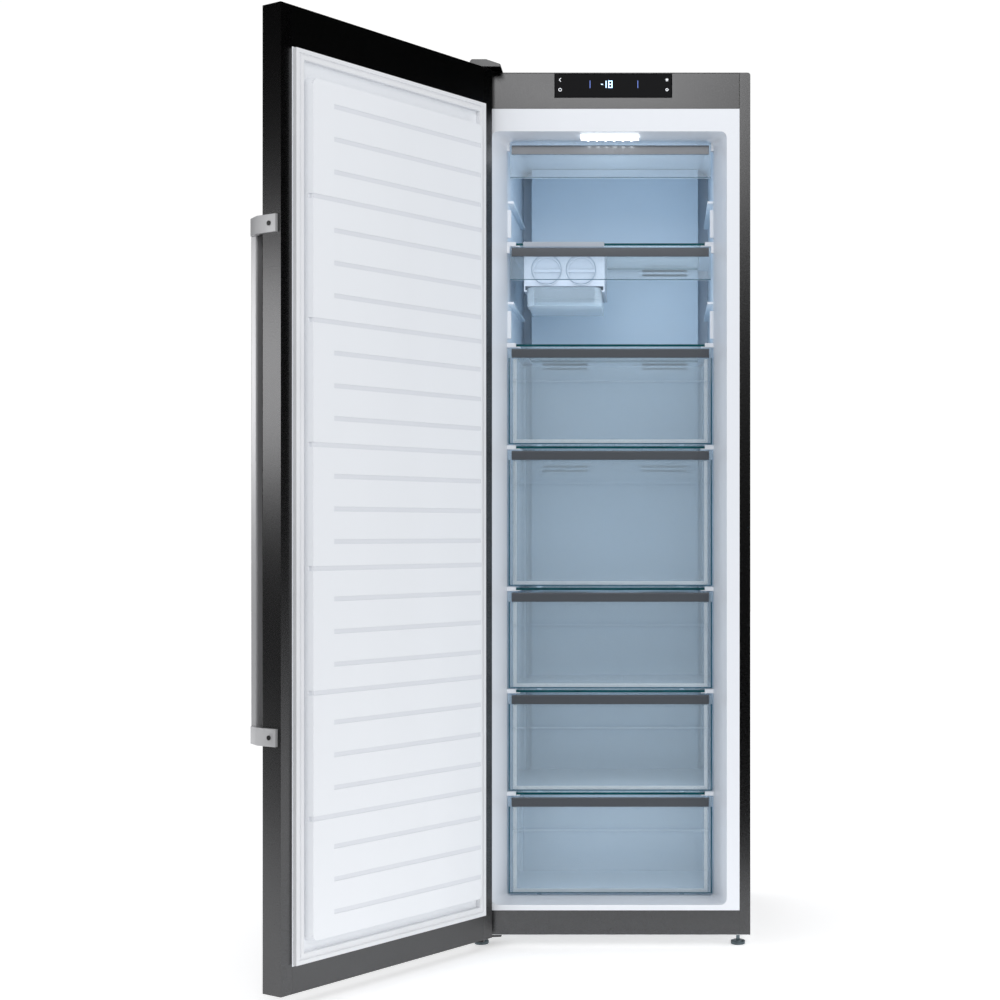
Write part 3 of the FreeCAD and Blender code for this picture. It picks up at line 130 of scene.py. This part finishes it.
def finish(name, colour, roughness, metallic=0.0, specular=0.5, mottle=0.05, patch=5.0, grain=350.0,
           relief=0.03, coat=0.0, stretch=(1, 1, 1), painted_depth_shade=None, aniso=0.0):
    """A surface with slow colour drift, and a fine grain in its gloss and relief.

    painted_depth_shade = (colour, start, end) turns the colour towards another one from Y start to Y end:
    painted shade with a cool lamp tint, deeper inside."""
    material, shader, links = bare_finish(name)
    vector = spread_of(material, stretch)
    drift = noise_of(material, vector, patch)
    colours = mixed(material, ranged(material, drift, 0, 1, 0.3, 0.7),
                    scaled(colour, 1 - mottle), scaled(colour, 1 + mottle))
    # painted shade: the colour turns darker and bluer along Y, deeper inside the cabinet
    if painted_depth_shade:
        shaded_far_colour, start, end = painted_depth_shade
        axes = node_of(material, "ShaderNodeSeparateXYZ")
        place = node_of(material, "ShaderNodeTexCoord")
        links.new(place.outputs["Object"], axes.inputs["Vector"])
        colours = mixed(material, ranged(material, axes.outputs["Y"], 0, 1, start, end), colours,
                        scaled(shaded_far_colour, 1))
    links.new(colours, shader.inputs["Base Color"])
    fine = noise_of(material, vector, grain, 2.0)
    links.new(ranged(material, fine, roughness * 0.85, roughness * 1.15), shader.inputs["Roughness"])
    bump = node_of(material, "ShaderNodeBump")
    bump.inputs["Strength"].default_value = relief
    bump.inputs["Distance"].default_value = 0.0005
    links.new(fine, bump.inputs["Height"])
    links.new(bump.outputs["Normal"], shader.inputs["Normal"])
    shader.inputs["Metallic"].default_value = metallic
    shader.inputs["Specular IOR Level"].default_value = specular
    shader.inputs["Coat Weight"].default_value = coat
    shader.inputs["Coat Roughness"].default_value = 0.05
    shader.inputs["Anisotropic"].default_value = aniso
    return material


def clear_finish(name, face_colour, edge_colour, face_alpha, edge_alpha, roughness, blend=0.35):
    """See-through plastic or glass: thin when seen square on, denser when seen along its wall, where its
    colour turns to edge_colour: painted glancing reflection where that is paler, painted edge shade where
    it is darker.
    """
    material, shader, links = bare_finish(name)
    vector = spread_of(material, (1, 1, 1))
    drift = noise_of(material, vector, 4.0)
    lean = node_of(material, "ShaderNodeLayerWeight")
    lean.inputs["Blend"].default_value = blend
    colours = mixed(material, ranged(material, drift, 0, 1, 0.3, 0.7),
                    scaled(face_colour, 0.97), scaled(face_colour, 1.03))
    colours = mixed(material, lean.outputs["Facing"], colours, scaled(edge_colour, 1))
    links.new(colours, shader.inputs["Base Color"])
    links.new(ranged(material, lean.outputs["Facing"], face_alpha, edge_alpha), shader.inputs["Alpha"])
    fine = noise_of(material, vector, 200.0)
    links.new(ranged(material, fine, roughness * 0.8, roughness * 1.2), shader.inputs["Roughness"])
    return material


def lit_finish(name, colour, strength, patch=60.0):
    """A lit lens or display mark."""
    material, shader, links = bare_finish(name)
    vector = spread_of(material, (1, 1, 1))
    drift = noise_of(material, vector, patch)
    colours = mixed(material, drift, scaled(colour, 0.9), scaled(colour, 1.0))
    links.new(colours, shader.inputs["Base Color"])
    links.new(colours, shader.inputs["Emission Color"])
    shader.inputs["Emission Strength"].default_value = strength
    shader.inputs["Roughness"].default_value = 0.3
    return material


DARK = (0.105, 0.105, 0.107)
graphite_steel = finish("graphite_steel", DARK, 0.27, metallic=1.0, mottle=0.03, grain=900.0, relief=0.004)
graphite_plastic = finish("graphite_plastic", DARK, 0.29, metallic=1.0, mottle=0.03, grain=700.0,
                          relief=0.006)
panel_glass = finish("panel_glass", (0.002, 0.002, 0.003), 0.10, specular=0.04, mottle=0.2, relief=0.002)
# the liner turns darker and bluer deeper inside the cabinet: painted shade with a cool lamp tint
liner_white = finish("liner_white", (0.86, 0.885, 0.93), 0.32, mottle=0.012, grain=160.0, relief=0.03,
                     stretch=(1, 1, 0.05), painted_depth_shade=((0.74, 0.84, 0.94), 0.025, 0.16))
door_white = finish("door_white", (0.86, 0.88, 0.91), 0.34, mottle=0.012, grain=160.0, relief=0.03,
                    stretch=(1, 1, 0.05))
# darker white for the groove faces of the door liner: painted shade in the recesses
groove_white = finish("groove_white", (0.765, 0.785, 0.825), 0.36, mottle=0.012, grain=160.0)
# the white cover at the back, coloured darker and bluer than the liner: painted shade with a cool lamp
# tint
duct_white = finish("duct_white", (0.60, 0.73, 0.85), 0.36, mottle=0.03, patch=2.2, grain=180.0)
# the ice maker's white moulding and knobs, coloured mid blue-grey: painted shade
maker_white = finish("maker_white", (0.46, 0.51, 0.58), 0.3, mottle=0.03, patch=8.0)
knob_white = finish("knob_white", (0.42, 0.47, 0.54), 0.26, mottle=0.03, patch=12.0)
seal_white = finish("seal_white", (0.80, 0.81, 0.83), 0.6, mottle=0.04, grain=500.0, relief=0.08)
strip_grey = finish("strip_grey", (0.115, 0.125, 0.14), 0.2, metallic=0.25, mottle=0.08, patch=2.5,
                    grain=700.0, relief=0.02, stretch=(0.15, 1, 4), coat=0.35)
clear_blue = clear_finish("clear_blue", (0.62, 0.76, 0.87), (0.82, 0.90, 0.96), 0.16, 0.8, 0.12)
# dark blue for the edges of clear fronts, the line under a flap and the rings round the knobs: painted
# shade
edge_blue = clear_finish("edge_blue", (0.045, 0.13, 0.19), (0.03, 0.08, 0.12), 0.88, 1.0, 0.15)
# pale, nearly opaque coves behind the clear fronts: a painted highlight
cove_white = clear_finish("cove_white", (0.90, 0.95, 1.0), (0.95, 0.98, 1.0), 0.72, 0.95, 0.2)
shelf_clear = clear_finish("shelf_clear", (0.62, 0.80, 0.86), (0.80, 0.92, 0.95), 0.10, 0.55, 0.03)
shelf_edge = finish("shelf_edge", (0.012, 0.085, 0.10), 0.12, mottle=0.25, patch=25.0, coat=0.6)
tray_pale = clear_finish("tray_pale", (0.62, 0.70, 0.80), (0.80, 0.86, 0.93), 0.75, 0.95, 0.3)
brushed_aluminium = finish("brushed_aluminium", (0.62, 0.62, 0.63), 0.38, metallic=0.55, mottle=0.06,
                           patch=30.0,
                           grain=900.0, relief=0.05, stretch=(1, 1, 0.02), aniso=0.4)
zinc = finish("zinc", (0.55, 0.56, 0.57), 0.38, metallic=1.0, mottle=0.12, patch=40.0, grain=500.0)
foot_steel = finish("foot_steel", (0.16, 0.20, 0.22), 0.35, metallic=0.8, mottle=0.15, patch=60.0)
black_enamel = finish("black_enamel", (0.012, 0.012, 0.013), 0.32, mottle=0.2, patch=20.0, grain=600.0,
                      relief=0.06)
pot_enamel = finish("pot_enamel", (0.010, 0.010, 0.011), 0.28, mottle=0.25, patch=12.0, grain=260.0,
                    relief=0.15)
black_moulding = finish("black_moulding", (0.018, 0.018, 0.020), 0.5, mottle=0.2, patch=30.0,
                        grain=900.0, relief=0.1)
black_rubber = finish("black_rubber", (0.014, 0.014, 0.014), 0.75, mottle=0.25, patch=30.0, grain=700.0,
                      relief=0.15)
foam_cream = finish("foam_cream", (0.80, 0.70, 0.42), 0.85, mottle=0.12, patch=40.0, grain=260.0,
                    relief=0.5)
nylon_white = finish("nylon_white", (0.80, 0.80, 0.78), 0.5, mottle=0.04, patch=30.0)
board_green = finish("board_green", (0.02, 0.16, 0.07), 0.35, mottle=0.3, patch=120.0)
fin_aluminium = finish("fin_aluminium", (0.72, 0.73, 0.74), 0.35, metallic=1.0, mottle=0.06, patch=30.0)
lamp_lens = lit_finish("lamp_lens", (0.93, 0.97, 1.0), 1.6)
lamp_chip = lit_finish("lamp_chip", (0.95, 0.98, 1.0), 9.0)
digit_light = lit_finish("digit_light", (0.55, 0.75, 1.0), 2.2)
line_light = lit_finish("line_light", (0.10, 0.17, 0.55), 0.8)
icon_light = lit_finish("icon_light", (0.80, 0.82, 0.85), 0.7)


# ---- making pieces -------------------------------------------------------------------------
def mesh_piece(name, shape, finishes, body, node=None, smooth=35):
    """Turns a bmesh into a piece that rides on a body, and that may stand for a CAD node."""
    mesh = bpy.data.meshes.new(name)
    for face in shape.faces:
        face.smooth = smooth > 0
    for edge in shape.edges:
        if len(edge.link_faces) == 2 and edge.calc_face_angle(0) > math.radians(smooth):
            edge.smooth = False
    shape.to_mesh(mesh)
    shape.free()
    for one in finishes:
        mesh.materials.append(one)
    piece = bpy.data.objects.new(name, mesh)
    scene.collection.objects.link(piece)
    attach(piece, body)
    if node:
        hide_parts(node)
    return piece


def merged_copy(node):
    """The CAD node's mesh with its loose triangles joined into whole flat faces."""
    shape = bmesh.new()
    shape.from_mesh(nodes[node].data)
    bmesh.ops.remove_doubles(shape, verts=shape.verts, dist=2e-6)
    bmesh.ops.dissolve_limit(shape, angle_limit=math.radians(0.6), verts=shape.verts, edges=shape.edges)
    return shape


def softened(node, finishes, width, segments=2, pick=None):
    """The CAD node with its sharp edges rounded over by width."""
    shape = merged_copy(node)
    sharp = [edge for edge in shape.edges
             if len(edge.link_faces) == 2 and edge.calc_face_angle(0) > math.radians(32)]
    if width > 0:
        bmesh.ops.bevel(shape, geom=sharp, offset=width, segments=segments, profile=0.5,
                        affect="EDGES", clamp_overlap=True)
    if pick:
        for face in shape.faces:
            face.material_index = pick(face)
    piece = mesh_piece(node + "_finished", shape, finishes, body_of[node], node)
    even = piece.modifiers.new("even_normals", "WEIGHTED_NORMAL")
    even.keep_sharp = True
    return piece


def painted(material, *names):
    """A new material on CAD nodes whose shape is right as it is."""
    for name in names:
        mesh = nodes[name].data
        mesh.materials.clear()
        mesh.materials.append(material)


def add_box(shape, low, high, material=0):
    corners = [Vector((x, y, z))
               for x in (low[0], high[0]) for y in (low[1], high[1]) for z in (low[2], high[2])]
    verts = [shape.verts.new(corner) for corner in corners]
    for loop in ((0, 1, 3, 2), (4, 6, 7, 5), (0, 4, 5, 1), (2, 3, 7, 6), (0, 2, 6, 4), (1, 5, 7, 3)):
        face = shape.faces.new([verts[i] for i in loop])
        face.material_index = material
    return verts


def rounded_box(low, high, width):
    shape = bmesh.new()
    add_box(shape, low, high)
    bmesh.ops.bevel(shape, geom=shape.edges[:], offset=width, segments=2, profile=0.5, affect="EDGES")
    return shape


# ---- geometry node trees -------------------------------------------------------------------
def tree_with(name, sockets):
    tree = bpy.data.node_groups.new(name, "GeometryNodeTree")
    for label, kind in sockets:
        tree.interface.new_socket(label, in_out="INPUT", socket_type=kind)
    tree.interface.new_socket("Parts", in_out="OUTPUT", socket_type="NodeSocketGeometry")
    return tree, tree.nodes.new("NodeGroupInput"), tree.nodes.new("NodeGroupOutput")


def close_tree(tree, given, result, instances):
    real = tree.nodes.new("GeometryNodeRealizeInstances")
    paint = tree.nodes.new("GeometryNodeSetMaterial")
    tree.links.new(instances, real.inputs["Geometry"])
    tree.links.new(real.outputs["Geometry"], paint.inputs["Geometry"])
    tree.links.new(given.outputs["Finish"], paint.inputs["Material"])
    tree.links.new(paint.outputs["Geometry"], result.inputs["Parts"])
    return tree


def make_row_tree():
    """One part repeated along a straight row."""
    tree, given, result = tree_with("parts_in_a_row", [
        ("Part", "NodeSocketGeometry"), ("Count", "NodeSocketInt"), ("First Place", "NodeSocketVector"),
        ("Step", "NodeSocketVector"), ("Finish", "NodeSocketMaterial")])
    line = tree.nodes.new("GeometryNodeMeshLine")
    line.mode = "OFFSET"
    put = tree.nodes.new("GeometryNodeInstanceOnPoints")
    tree.links.new(given.outputs["Count"], line.inputs["Count"])
    tree.links.new(given.outputs["First Place"], line.inputs["Start Location"])
    tree.links.new(given.outputs["Step"], line.inputs["Offset"])
    tree.links.new(line.outputs["Mesh"], put.inputs["Points"])
    tree.links.new(given.outputs["Part"], put.inputs["Instance"])
    return close_tree(tree, given, result, put.outputs["Instances"])


def make_ring_tree():
    """One part repeated round an upright axis, each copy turned to face outwards."""
    tree, given, result = tree_with("parts_in_a_ring", [
        ("Part", "NodeSocketGeometry"), ("Count", "NodeSocketInt"), ("Radius", "NodeSocketFloat"),
        ("Centre", "NodeSocketVector"), ("Finish", "NodeSocketMaterial")])
    ring = tree.nodes.new("GeometryNodeMeshCircle")
    put = tree.nodes.new("GeometryNodeInstanceOnPoints")
    index = tree.nodes.new("GeometryNodeInputIndex")
    share = tree.nodes.new("ShaderNodeMath")
    share.operation = "DIVIDE"
    turn = tree.nodes.new("ShaderNodeMath")
    turn.operation = "MULTIPLY"
    turn.inputs[1].default_value = math.tau
    angles = tree.nodes.new("ShaderNodeCombineXYZ")
    move = tree.nodes.new("GeometryNodeTransform")
    tree.links.new(given.outputs["Count"], ring.inputs["Vertices"])
    tree.links.new(given.outputs["Radius"], ring.inputs["Radius"])
    tree.links.new(index.outputs["Index"], share.inputs[0])
    tree.links.new(given.outputs["Count"], share.inputs[1])
    tree.links.new(share.outputs[0], turn.inputs[0])
    tree.links.new(turn.outputs[0], angles.inputs["Z"])
    tree.links.new(ring.outputs["Mesh"], put.inputs["Points"])
    tree.links.new(given.outputs["Part"], put.inputs["Instance"])
    tree.links.new(angles.outputs["Vector"], put.inputs["Rotation"])
    tree.links.new(put.outputs["Instances"], move.inputs["Geometry"])
    tree.links.new(given.outputs["Centre"], move.inputs["Translation"])
    return close_tree(tree, given, result, move.outputs["Geometry"])


ROW = make_row_tree()
RING = make_ring_tree()


def set_out(name, part, tree, body, slot=None, **sizes):
    """Runs a tree on one part, and keeps the result as a plain mesh piece."""
    mesh = bpy.data.meshes.new(name)
    for face in part.faces:
        face.smooth = True
    for edge in part.edges:
        if len(edge.link_faces) == 2 and edge.calc_face_angle(0) > math.radians(35):
            edge.smooth = False
    part.to_mesh(mesh)
    part.free()
    piece = bpy.data.objects.new(name, mesh)
    scene.collection.objects.link(piece)
    modifier = piece.modifiers.new("set_out", "NODES")
    modifier.node_group = tree
    for item in tree.interface.items_tree:
        key = item.name.replace(" ", "_").lower()
        if item.in_out == "INPUT" and key in sizes:
            modifier[item.identifier] = sizes[key]
    graph = bpy.context.evaluated_depsgraph_get()
    plain = bpy.data.meshes.new_from_object(piece.evaluated_get(graph), depsgraph=graph)
    piece.modifiers.clear()
    piece.data = plain
    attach(piece, body)
    return piece


# ---- cabinet and door ----------------------------------------------------------------------
def finish_casing():
    softened("cabinet_shell", [graphite_steel], 0.0008)
    softened("bottom_rail", [graphite_steel], 0.0008)
    softened("top_fascia", [graphite_plastic], 0.001)
    softened("top_hinge_cover", [graphite_plastic], 0.0015, 3)
    softened("door_skin", [graphite_steel], 0.0006)
    softened("door_end_caps", [graphite_plastic], 0.001)
    softened("control_glass", [panel_glass], 0.0006)


DOOR_OPEN_DEG = 124.8


def finish_liners():
    softened("inner_liner", [liner_white], 0.0009)
    turned = math.radians(DOOR_OPEN_DEG)
    outward = Vector((math.sin(turned), math.cos(turned), 0.0))    # the way the door's inner face looks
    raised = max(outward.dot(vertex.co) for vertex in nodes["door_liner"].data.vertices)

    def groove(face):
        drop = raised - outward.dot(face.calc_center_median())
        return int(0.0006 < drop < 0.0024 and abs(face.normal.z) < 0.9)
    # the groove faces take the darker second finish as painted shade
    softened("door_liner", [door_white, groove_white], 0.0009, pick=groove)
    softened("door_gasket", [seal_white], 0.0008)
    softened("evaporator_cover", [duct_white], 0.0006)


def finish_handle():
    softened("handle_bar", [brushed_aluminium], 0.0015, 3)
    softened("handle_brackets", [brushed_aluminium], 0.0008)
    painted(black_enamel, "handle_screws")


# ---- shelves, flaps and drawers ------------------------------------------------------------
def finish_shelves():
    softened("glass_shelves", [shelf_clear, shelf_edge], 0.0,
             pick=lambda face: int(abs(face.normal.z) < 0.5))


BEAD = 0.0032                    # dark edge of a clear front: the clear rim seen end-on, painted dark as shade
COVE = 0.0075                    # inside corner behind a clear front, painted pale as a highlight
LIP_HALF = 0.2178                # half the length of the dark line under a flap, a painted shade line


def front_edges(node, number):
    """Dark bead along the two sides and the foot of a clear front, a painted edge shade, and the pale
    coves behind it, a painted highlight.
    """
    low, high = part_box(node)
    trim_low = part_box(node.replace("drawer_", "drawer_trim_"))[0]
    top = trim_low.z
    wide = min(high.x - MID, MID - low.x)
    front = trim_low.y + 0.003
    foot = low.z + 0.0043
    # the dark bead is painted shade along the clear rim
    bead = bmesh.new()
    add_box(bead, (MID - wide - 0.0001, front - 0.0002, foot - 0.0001),
            (MID - wide + BEAD, front + 0.0032, top))
    add_box(bead, (MID + wide - BEAD, front - 0.0002, foot - 0.0001),
            (MID + wide + 0.0001, front + 0.0032, top))
    add_box(bead, (MID - wide + BEAD, front - 0.0002, foot - 0.0001),
            (MID + wide - BEAD, front + 0.0032, foot + BEAD * 0.7))
    bmesh.ops.bevel(bead, geom=bead.edges[:], offset=0.0005, segments=2, profile=0.5, affect="EDGES")
    mesh_piece("drawer_bead_%d" % number, bead, [edge_blue], body_of[node])
    inside = wide - 0.0075 - 0.0025
    back = front + 0.0030
    floor = foot + 0.0025
    # the coves are painted pale as a highlight
    cove = bmesh.new()
    steps = 6
    bend = [(0.0, 0.0)]
    for step in range(steps + 1):
        angle = math.pi / 2 * step / steps
        bend.append((COVE - COVE * math.cos(angle), COVE - COVE * math.sin(angle)))
    foot_bar(cove, bend, MID - inside, MID + inside, back, floor)
    for side in (-1, 1):
        corner_bar(cove, bend, side, inside, back, floor + COVE, top - 0.002)
    mesh_piece("drawer_cove_%d" % number, cove, [cove_white], body_of[node])


def foot_bar(shape, profile, x0, x1, back, floor):
    rings = [[shape.verts.new((x, back + y, floor + z)) for y, z in profile] for x in (x0, x1)]
    skin_between(shape, rings)


def corner_bar(shape, profile, side, inside, back, z0, z1):
    rings = [[shape.verts.new((MID + side * (inside - x), back + y, z)) for x, y in profile]
             for z in (z0, z1)]
    skin_between(shape, rings)


def skin_between(shape, rings):
    first, last = rings
    count = len(first)
    made = [shape.faces.new((first[i], first[(i + 1) % count], last[(i + 1) % count], last[i]))
            for i in range(count)]
    made.append(shape.faces.new(first[::-1]))
    made.append(shape.faces.new(last))
    bmesh.ops.recalc_face_normals(shape, faces=made)


def finish_fronts():
    for number in range(1, 6):
        softened("drawer_%d" % number, [clear_blue], 0.0006)
        softened("drawer_trim_%d" % number, [strip_grey], 0.0006)
        front_edges("drawer_%d" % number, number)
    for number in (1, 2):
        softened("flap_%d" % number, [clear_blue], 0.0005)
        softened("flap_trim_%d" % number, [strip_grey], 0.0006)
        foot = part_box("flap_%d" % number)[0].z
        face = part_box("flap_trim_%d" % number)[0].y
        lip = bmesh.new()
        add_box(lip, (MID - LIP_HALF, face + 0.0028, foot - 0.0001),
                (MID + LIP_HALF, face + 0.0040, foot + 0.0013))
        # a dark line at the foot of the flap: painted shade
        mesh_piece("flap_lip_line_%d" % number, lip, [edge_blue], "flap_%d" % number,
                   smooth=0)


# ---- ice maker -----------------------------------------------------------------------------
def finish_ice_maker():
    softened("ice_frame", [maker_white], 0.0008)
    softened("ice_bin", [clear_blue], 0.0006)
    for side in ("left", "right"):
        softened("ice_knob_" + side, [knob_white], 0.001, 3)
        painted(tray_pale, "ice_tray_" + side)
        low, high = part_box("ice_knob_" + side)
        centre = (low + high) / 2
        radius = (high.x - low.x) / 2
        ring = bmesh.new()
        turns = 96
        face_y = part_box("ice_frame")[0].y
        rows = []
        for turn in range(turns):
            angle = math.tau * turn / turns
            across, up = math.cos(angle), math.sin(angle)
            rows.append([ring.verts.new((centre.x + r * across, y, centre.z + r * up)) for r, y in (
                (radius + 0.0001, face_y), (radius + 0.0001, face_y - 0.0003),
                (radius + 0.0010, face_y - 0.0003), (radius + 0.0010, face_y))])
        for turn in range(turns):
            here, after = rows[turn], rows[(turn + 1) % turns]
            for i in range(4):
                ring.faces.new((here[i], here[(i + 1) % 4], after[(i + 1) % 4], after[i]))
        bmesh.ops.recalc_face_normals(ring, faces=ring.faces)
        # a dark ring round the knob: painted shade in the gap
        mesh_piece("knob_seam_" + side, ring, [edge_blue], "cabinet")


# ---- control panel -------------------------------------------------------------------------
SEGMENTS = {"8": "abcdefg", "1": "bc", "-": "g"}
PANEL_MIDDLE_Z = 1.835
DIGIT_H = 0.015
DIGIT_LINE = 0.0016
SIGN_RISE = 0.0095             # the upper signs above the middle
SIGN_DROP = 0.0115             # the lower signs below the middle


def digit_bars(shape, character, left, low, wide, tall, stroke, front):
    places = {"a": (0, tall - stroke, wide, tall),
              "b": (wide - stroke, tall / 2, wide, tall),
              "c": (wide - stroke, 0, wide, tall / 2),
              "d": (0, 0, wide, stroke),
              "e": (0, 0, stroke, tall / 2),
              "f": (0, tall / 2, stroke, tall),
              "g": (0, tall / 2 - stroke / 2, wide, tall / 2 + stroke / 2)}
    for name in SEGMENTS[character]:
        x0, z0, x1, z1 = places[name]
        add_box(shape, (left + x0, front - 0.00025, low + z0), (left + x1, front, low + z1))


def finish_control_panel():
    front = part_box("control_glass")[0].y + 0.0001
    middle = PANEL_MIDDLE_Z
    foot = middle - DIGIT_H / 2
    shape = bmesh.new()
    digit_bars(shape, "-", MID - 0.0175, foot, 0.004, DIGIT_H, 0.0015, front)
    digit_bars(shape, "1", MID - 0.0125, foot, 0.0065, DIGIT_H, DIGIT_LINE, front)
    digit_bars(shape, "8", MID - 0.0020, foot, 0.0085, DIGIT_H, DIGIT_LINE, front)
    mesh_piece("panel_digits", shape, [digit_light], "cabinet", smooth=0)
    shape = bmesh.new()
    for x in (MID - 0.0409, MID + 0.0607):
        add_box(shape, (x - 0.0007, front - 0.0002, middle - 0.008), (x + 0.0007, front, middle + 0.008))
    mesh_piece("panel_lines", shape, [line_light], "cabinet", smooth=0)
    shape = bmesh.new()
    above, below = middle + SIGN_RISE, middle - SIGN_DROP
    for x, z, kind in ((-0.1046, above, "arrow"), (-0.1046, below, "ring"),
                       (0.1227, above, "flake"), (0.1227, below, "diamond")):
        add_icon(shape, MID + x, z, kind, front)
    mesh_piece("panel_icons", shape, [icon_light], "cabinet", smooth=0)


def add_stroke(shape, start, end, width, front):
    along = Vector((end[0] - start[0], 0, end[1] - start[1]))
    side = Vector((-along.z, 0, along.x)).normalized() * width / 2
    a, b = Vector((start[0], front, start[1])), Vector((end[0], front, end[1]))
    loop = [a - side, b - side, b + side, a + side]
    back = [shape.verts.new(p) for p in loop]
    fore = [shape.verts.new(p + Vector((0, -0.0002, 0))) for p in loop]
    made = [shape.faces.new(fore), shape.faces.new(back[::-1])]
    made += [shape.faces.new((back[i], back[(i + 1) % 4], fore[(i + 1) % 4], fore[i])) for i in range(4)]
    bmesh.ops.recalc_face_normals(shape, faces=made)


def add_icon(shape, x, z, kind, front):
    size, width = 0.0038, 0.0012
    if kind == "arrow":
        add_stroke(shape, (x + size * 0.5, z + size), (x - size * 0.5, z), width, front)
        add_stroke(shape, (x - size * 0.5, z), (x + size * 0.5, z - size), width, front)
    elif kind == "flake":
        for turn in range(3):
            angle = math.pi * turn / 3
            dx, dz = size * math.cos(angle), size * math.sin(angle)
            add_stroke(shape, (x - dx, z - dz), (x + dx, z + dz), width * 0.8, front)
    else:
        count = 16 if kind == "ring" else 4
        points = [(x + size * 0.8 * math.cos(math.tau * i / count),
                   z + size * 0.8 * math.sin(math.tau * i / count))
                  for i in range(count)]
        for here, after in zip(points, points[1:] + points[:1]):
            add_stroke(shape, here, after, width, front)


# ---- lamp ----------------------------------------------------------------------------------
LED_COUNT = 6
LED_STEP = 0.0185


def finish_lamp():
    softened("led_lamp", [lamp_lens], 0.0003)
    low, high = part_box("led_lamp")
    dome = bmesh.new()
    bmesh.ops.create_uvsphere(dome, u_segments=16, v_segments=10, radius=0.0037)
    first = (MID - LED_STEP * (LED_COUNT - 1) / 2, (low.y + high.y) / 2, low.z + 0.0035)
    set_out("led_chips", dome, ROW, "cabinet", "lamp_cover", count=LED_COUNT, first_place=first,
            step=(LED_STEP, 0, 0), finish=lamp_chip)


# ---- feet, back and inside -----------------------------------------------------------------
def finish_feet():
    for side in ("left", "right"):
        softened("foot_" + side, [foot_steel], 0.0008)
        low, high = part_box("foot_" + side)
        tooth = rounded_box((-0.0007, -0.0009, -0.003), (0.0007, 0.0009, 0.003), 0.0003)
        set_out("foot_grip_" + side, tooth, RING, "foot_" + side, "black_plastic", count=36,
                radius=(high.x - low.x) / 2 - 0.0003,
                centre=((low.x + high.x) / 2, (low.y + high.y) / 2, 0.0045),
                finish=foot_steel)
        painted(black_moulding, "roller_" + side)
    painted(zinc, "roller_brackets")
    painted(black_moulding, "foot_inserts")


def finish_back():
    softened("rear_panel", [zinc], 0.0004)
    softened("base_plate", [zinc], 0.0004)
    painted(zinc, "bay_liner", "hinge_screws", "fan_motor")
    softened("bay_cover", [black_enamel], 0.0004)
    painted(black_enamel, "condenser_coil", "door_hinges")
    painted(pot_enamel, "compressor")
    painted(black_rubber, "compressor_grommets")
    painted(black_moulding, "drip_tray", "fan_blade", "cord_gland")
    painted(foam_cream, "insulation_foam")
    # the door foam seen through the notches takes the painted groove shade colour
    painted(groove_white, "door_foam")
    painted(nylon_white, "door_bushes")
    painted(board_green, "control_board")
    painted(fin_aluminium, "evaporator")


# ---- floor and light -----------------------------------------------------------------------
def floor_finish():
    material = finish("pale_floor", (0.9, 0.9, 0.9), 0.9, specular=0.0, mottle=0.01, patch=2.0, relief=0.0)
    shader = material.node_tree.nodes["Principled BSDF"]
    shader.inputs["Emission Color"].default_value = (1, 1, 1, 1)
    shader.inputs["Emission Strength"].default_value = 0.45
    return material


def set_floor():
    shape = bmesh.new()
    corners = [(-6, -1.15), (6, -1.15), (6, 16), (-6, 16)]
    shape.faces.new([shape.verts.new(HOME + Vector((x, y, 0))) for x, y in corners])
    mesh = bpy.data.meshes.new("floor")
    shape.to_mesh(mesh)
    shape.free()
    mesh.materials.append(floor_finish())
    floor = bpy.data.objects.new("floor", mesh)
    scene.collection.objects.link(floor)


def softbox(name, place, target, wide, tall, power, colour=(1, 1, 1)):
    light = bpy.data.lights.new(name, "AREA")
    light.shape = "RECTANGLE"
    light.size, light.size_y = wide, tall
    light.energy = power
    light.color = colour
    lamp = bpy.data.objects.new(name, light)
    lamp.location = HOME + Vector(place)
    lamp.rotation_euler = (Vector(target) - Vector(place)).to_track_quat("-Z", "Y").to_euler()
    scene.collection.objects.link(lamp)
    return lamp


FILL = 0.72


def set_world():
    """White to the eye, dim to gloss, and an even fill for matt surfaces."""
    world = bpy.data.worlds.new("studio")
    world.use_nodes = True
    scene.world = world
    tree = world.node_tree
    sky = tree.nodes["Background"]
    path = tree.nodes.new("ShaderNodeLightPath")
    pick = tree.nodes.new("ShaderNodeMix")
    pick.data_type = "RGBA"
    gloss = tree.nodes.new("ShaderNodeMix")
    gloss.data_type = "RGBA"
    colours = lambda node: [i for i in node.inputs if i.type == "RGBA"]
    colours(gloss)[0].default_value = (FILL, FILL * 1.01, FILL * 1.03, 1)
    colours(gloss)[1].default_value = (0.004, 0.004, 0.004, 1)
    colours(pick)[1].default_value = (1.02, 1.02, 1.02, 1)
    tree.links.new(path.outputs["Is Glossy Ray"], gloss.inputs["Factor"])
    tree.links.new(path.outputs["Is Camera Ray"], pick.inputs["Factor"])
    tree.links.new([o for o in gloss.outputs if o.type == "RGBA"][0], colours(pick)[0])
    tree.links.new([o for o in pick.outputs if o.type == "RGBA"][0], sky.inputs["Color"])
    world.cycles.sampling_method = "NONE"
    scene.view_settings.view_transform = "Standard"


def set_lights():
    softbox("overhead_front", (-0.15, -4.15, 3.05), (0, -0.3, 1.2), 1.5, 1.5, 26)
    softbox("left_side", (-2.75, -1.10, 1.38), (-0.6, -0.8, 1.35), 1.0, 0.65, 7)
    softbox("front_right", (2.6, -3.6, 2.0), (-0.3, -0.4, 1.0), 0.9, 1.2, 18)
    softbox("inside_glow", (0.0, -0.208, 0.90), (0.0, 0.2, 0.90), 0.40, 1.56, 2.0, (0.80, 0.90, 1.0))


set_camera()
finish_casing()
finish_liners()
finish_handle()
finish_shelves()
finish_fronts()
finish_ice_maker()
finish_control_panel()
finish_lamp()
finish_feet()
finish_back()
set_floor()
set_world()
set_lights()
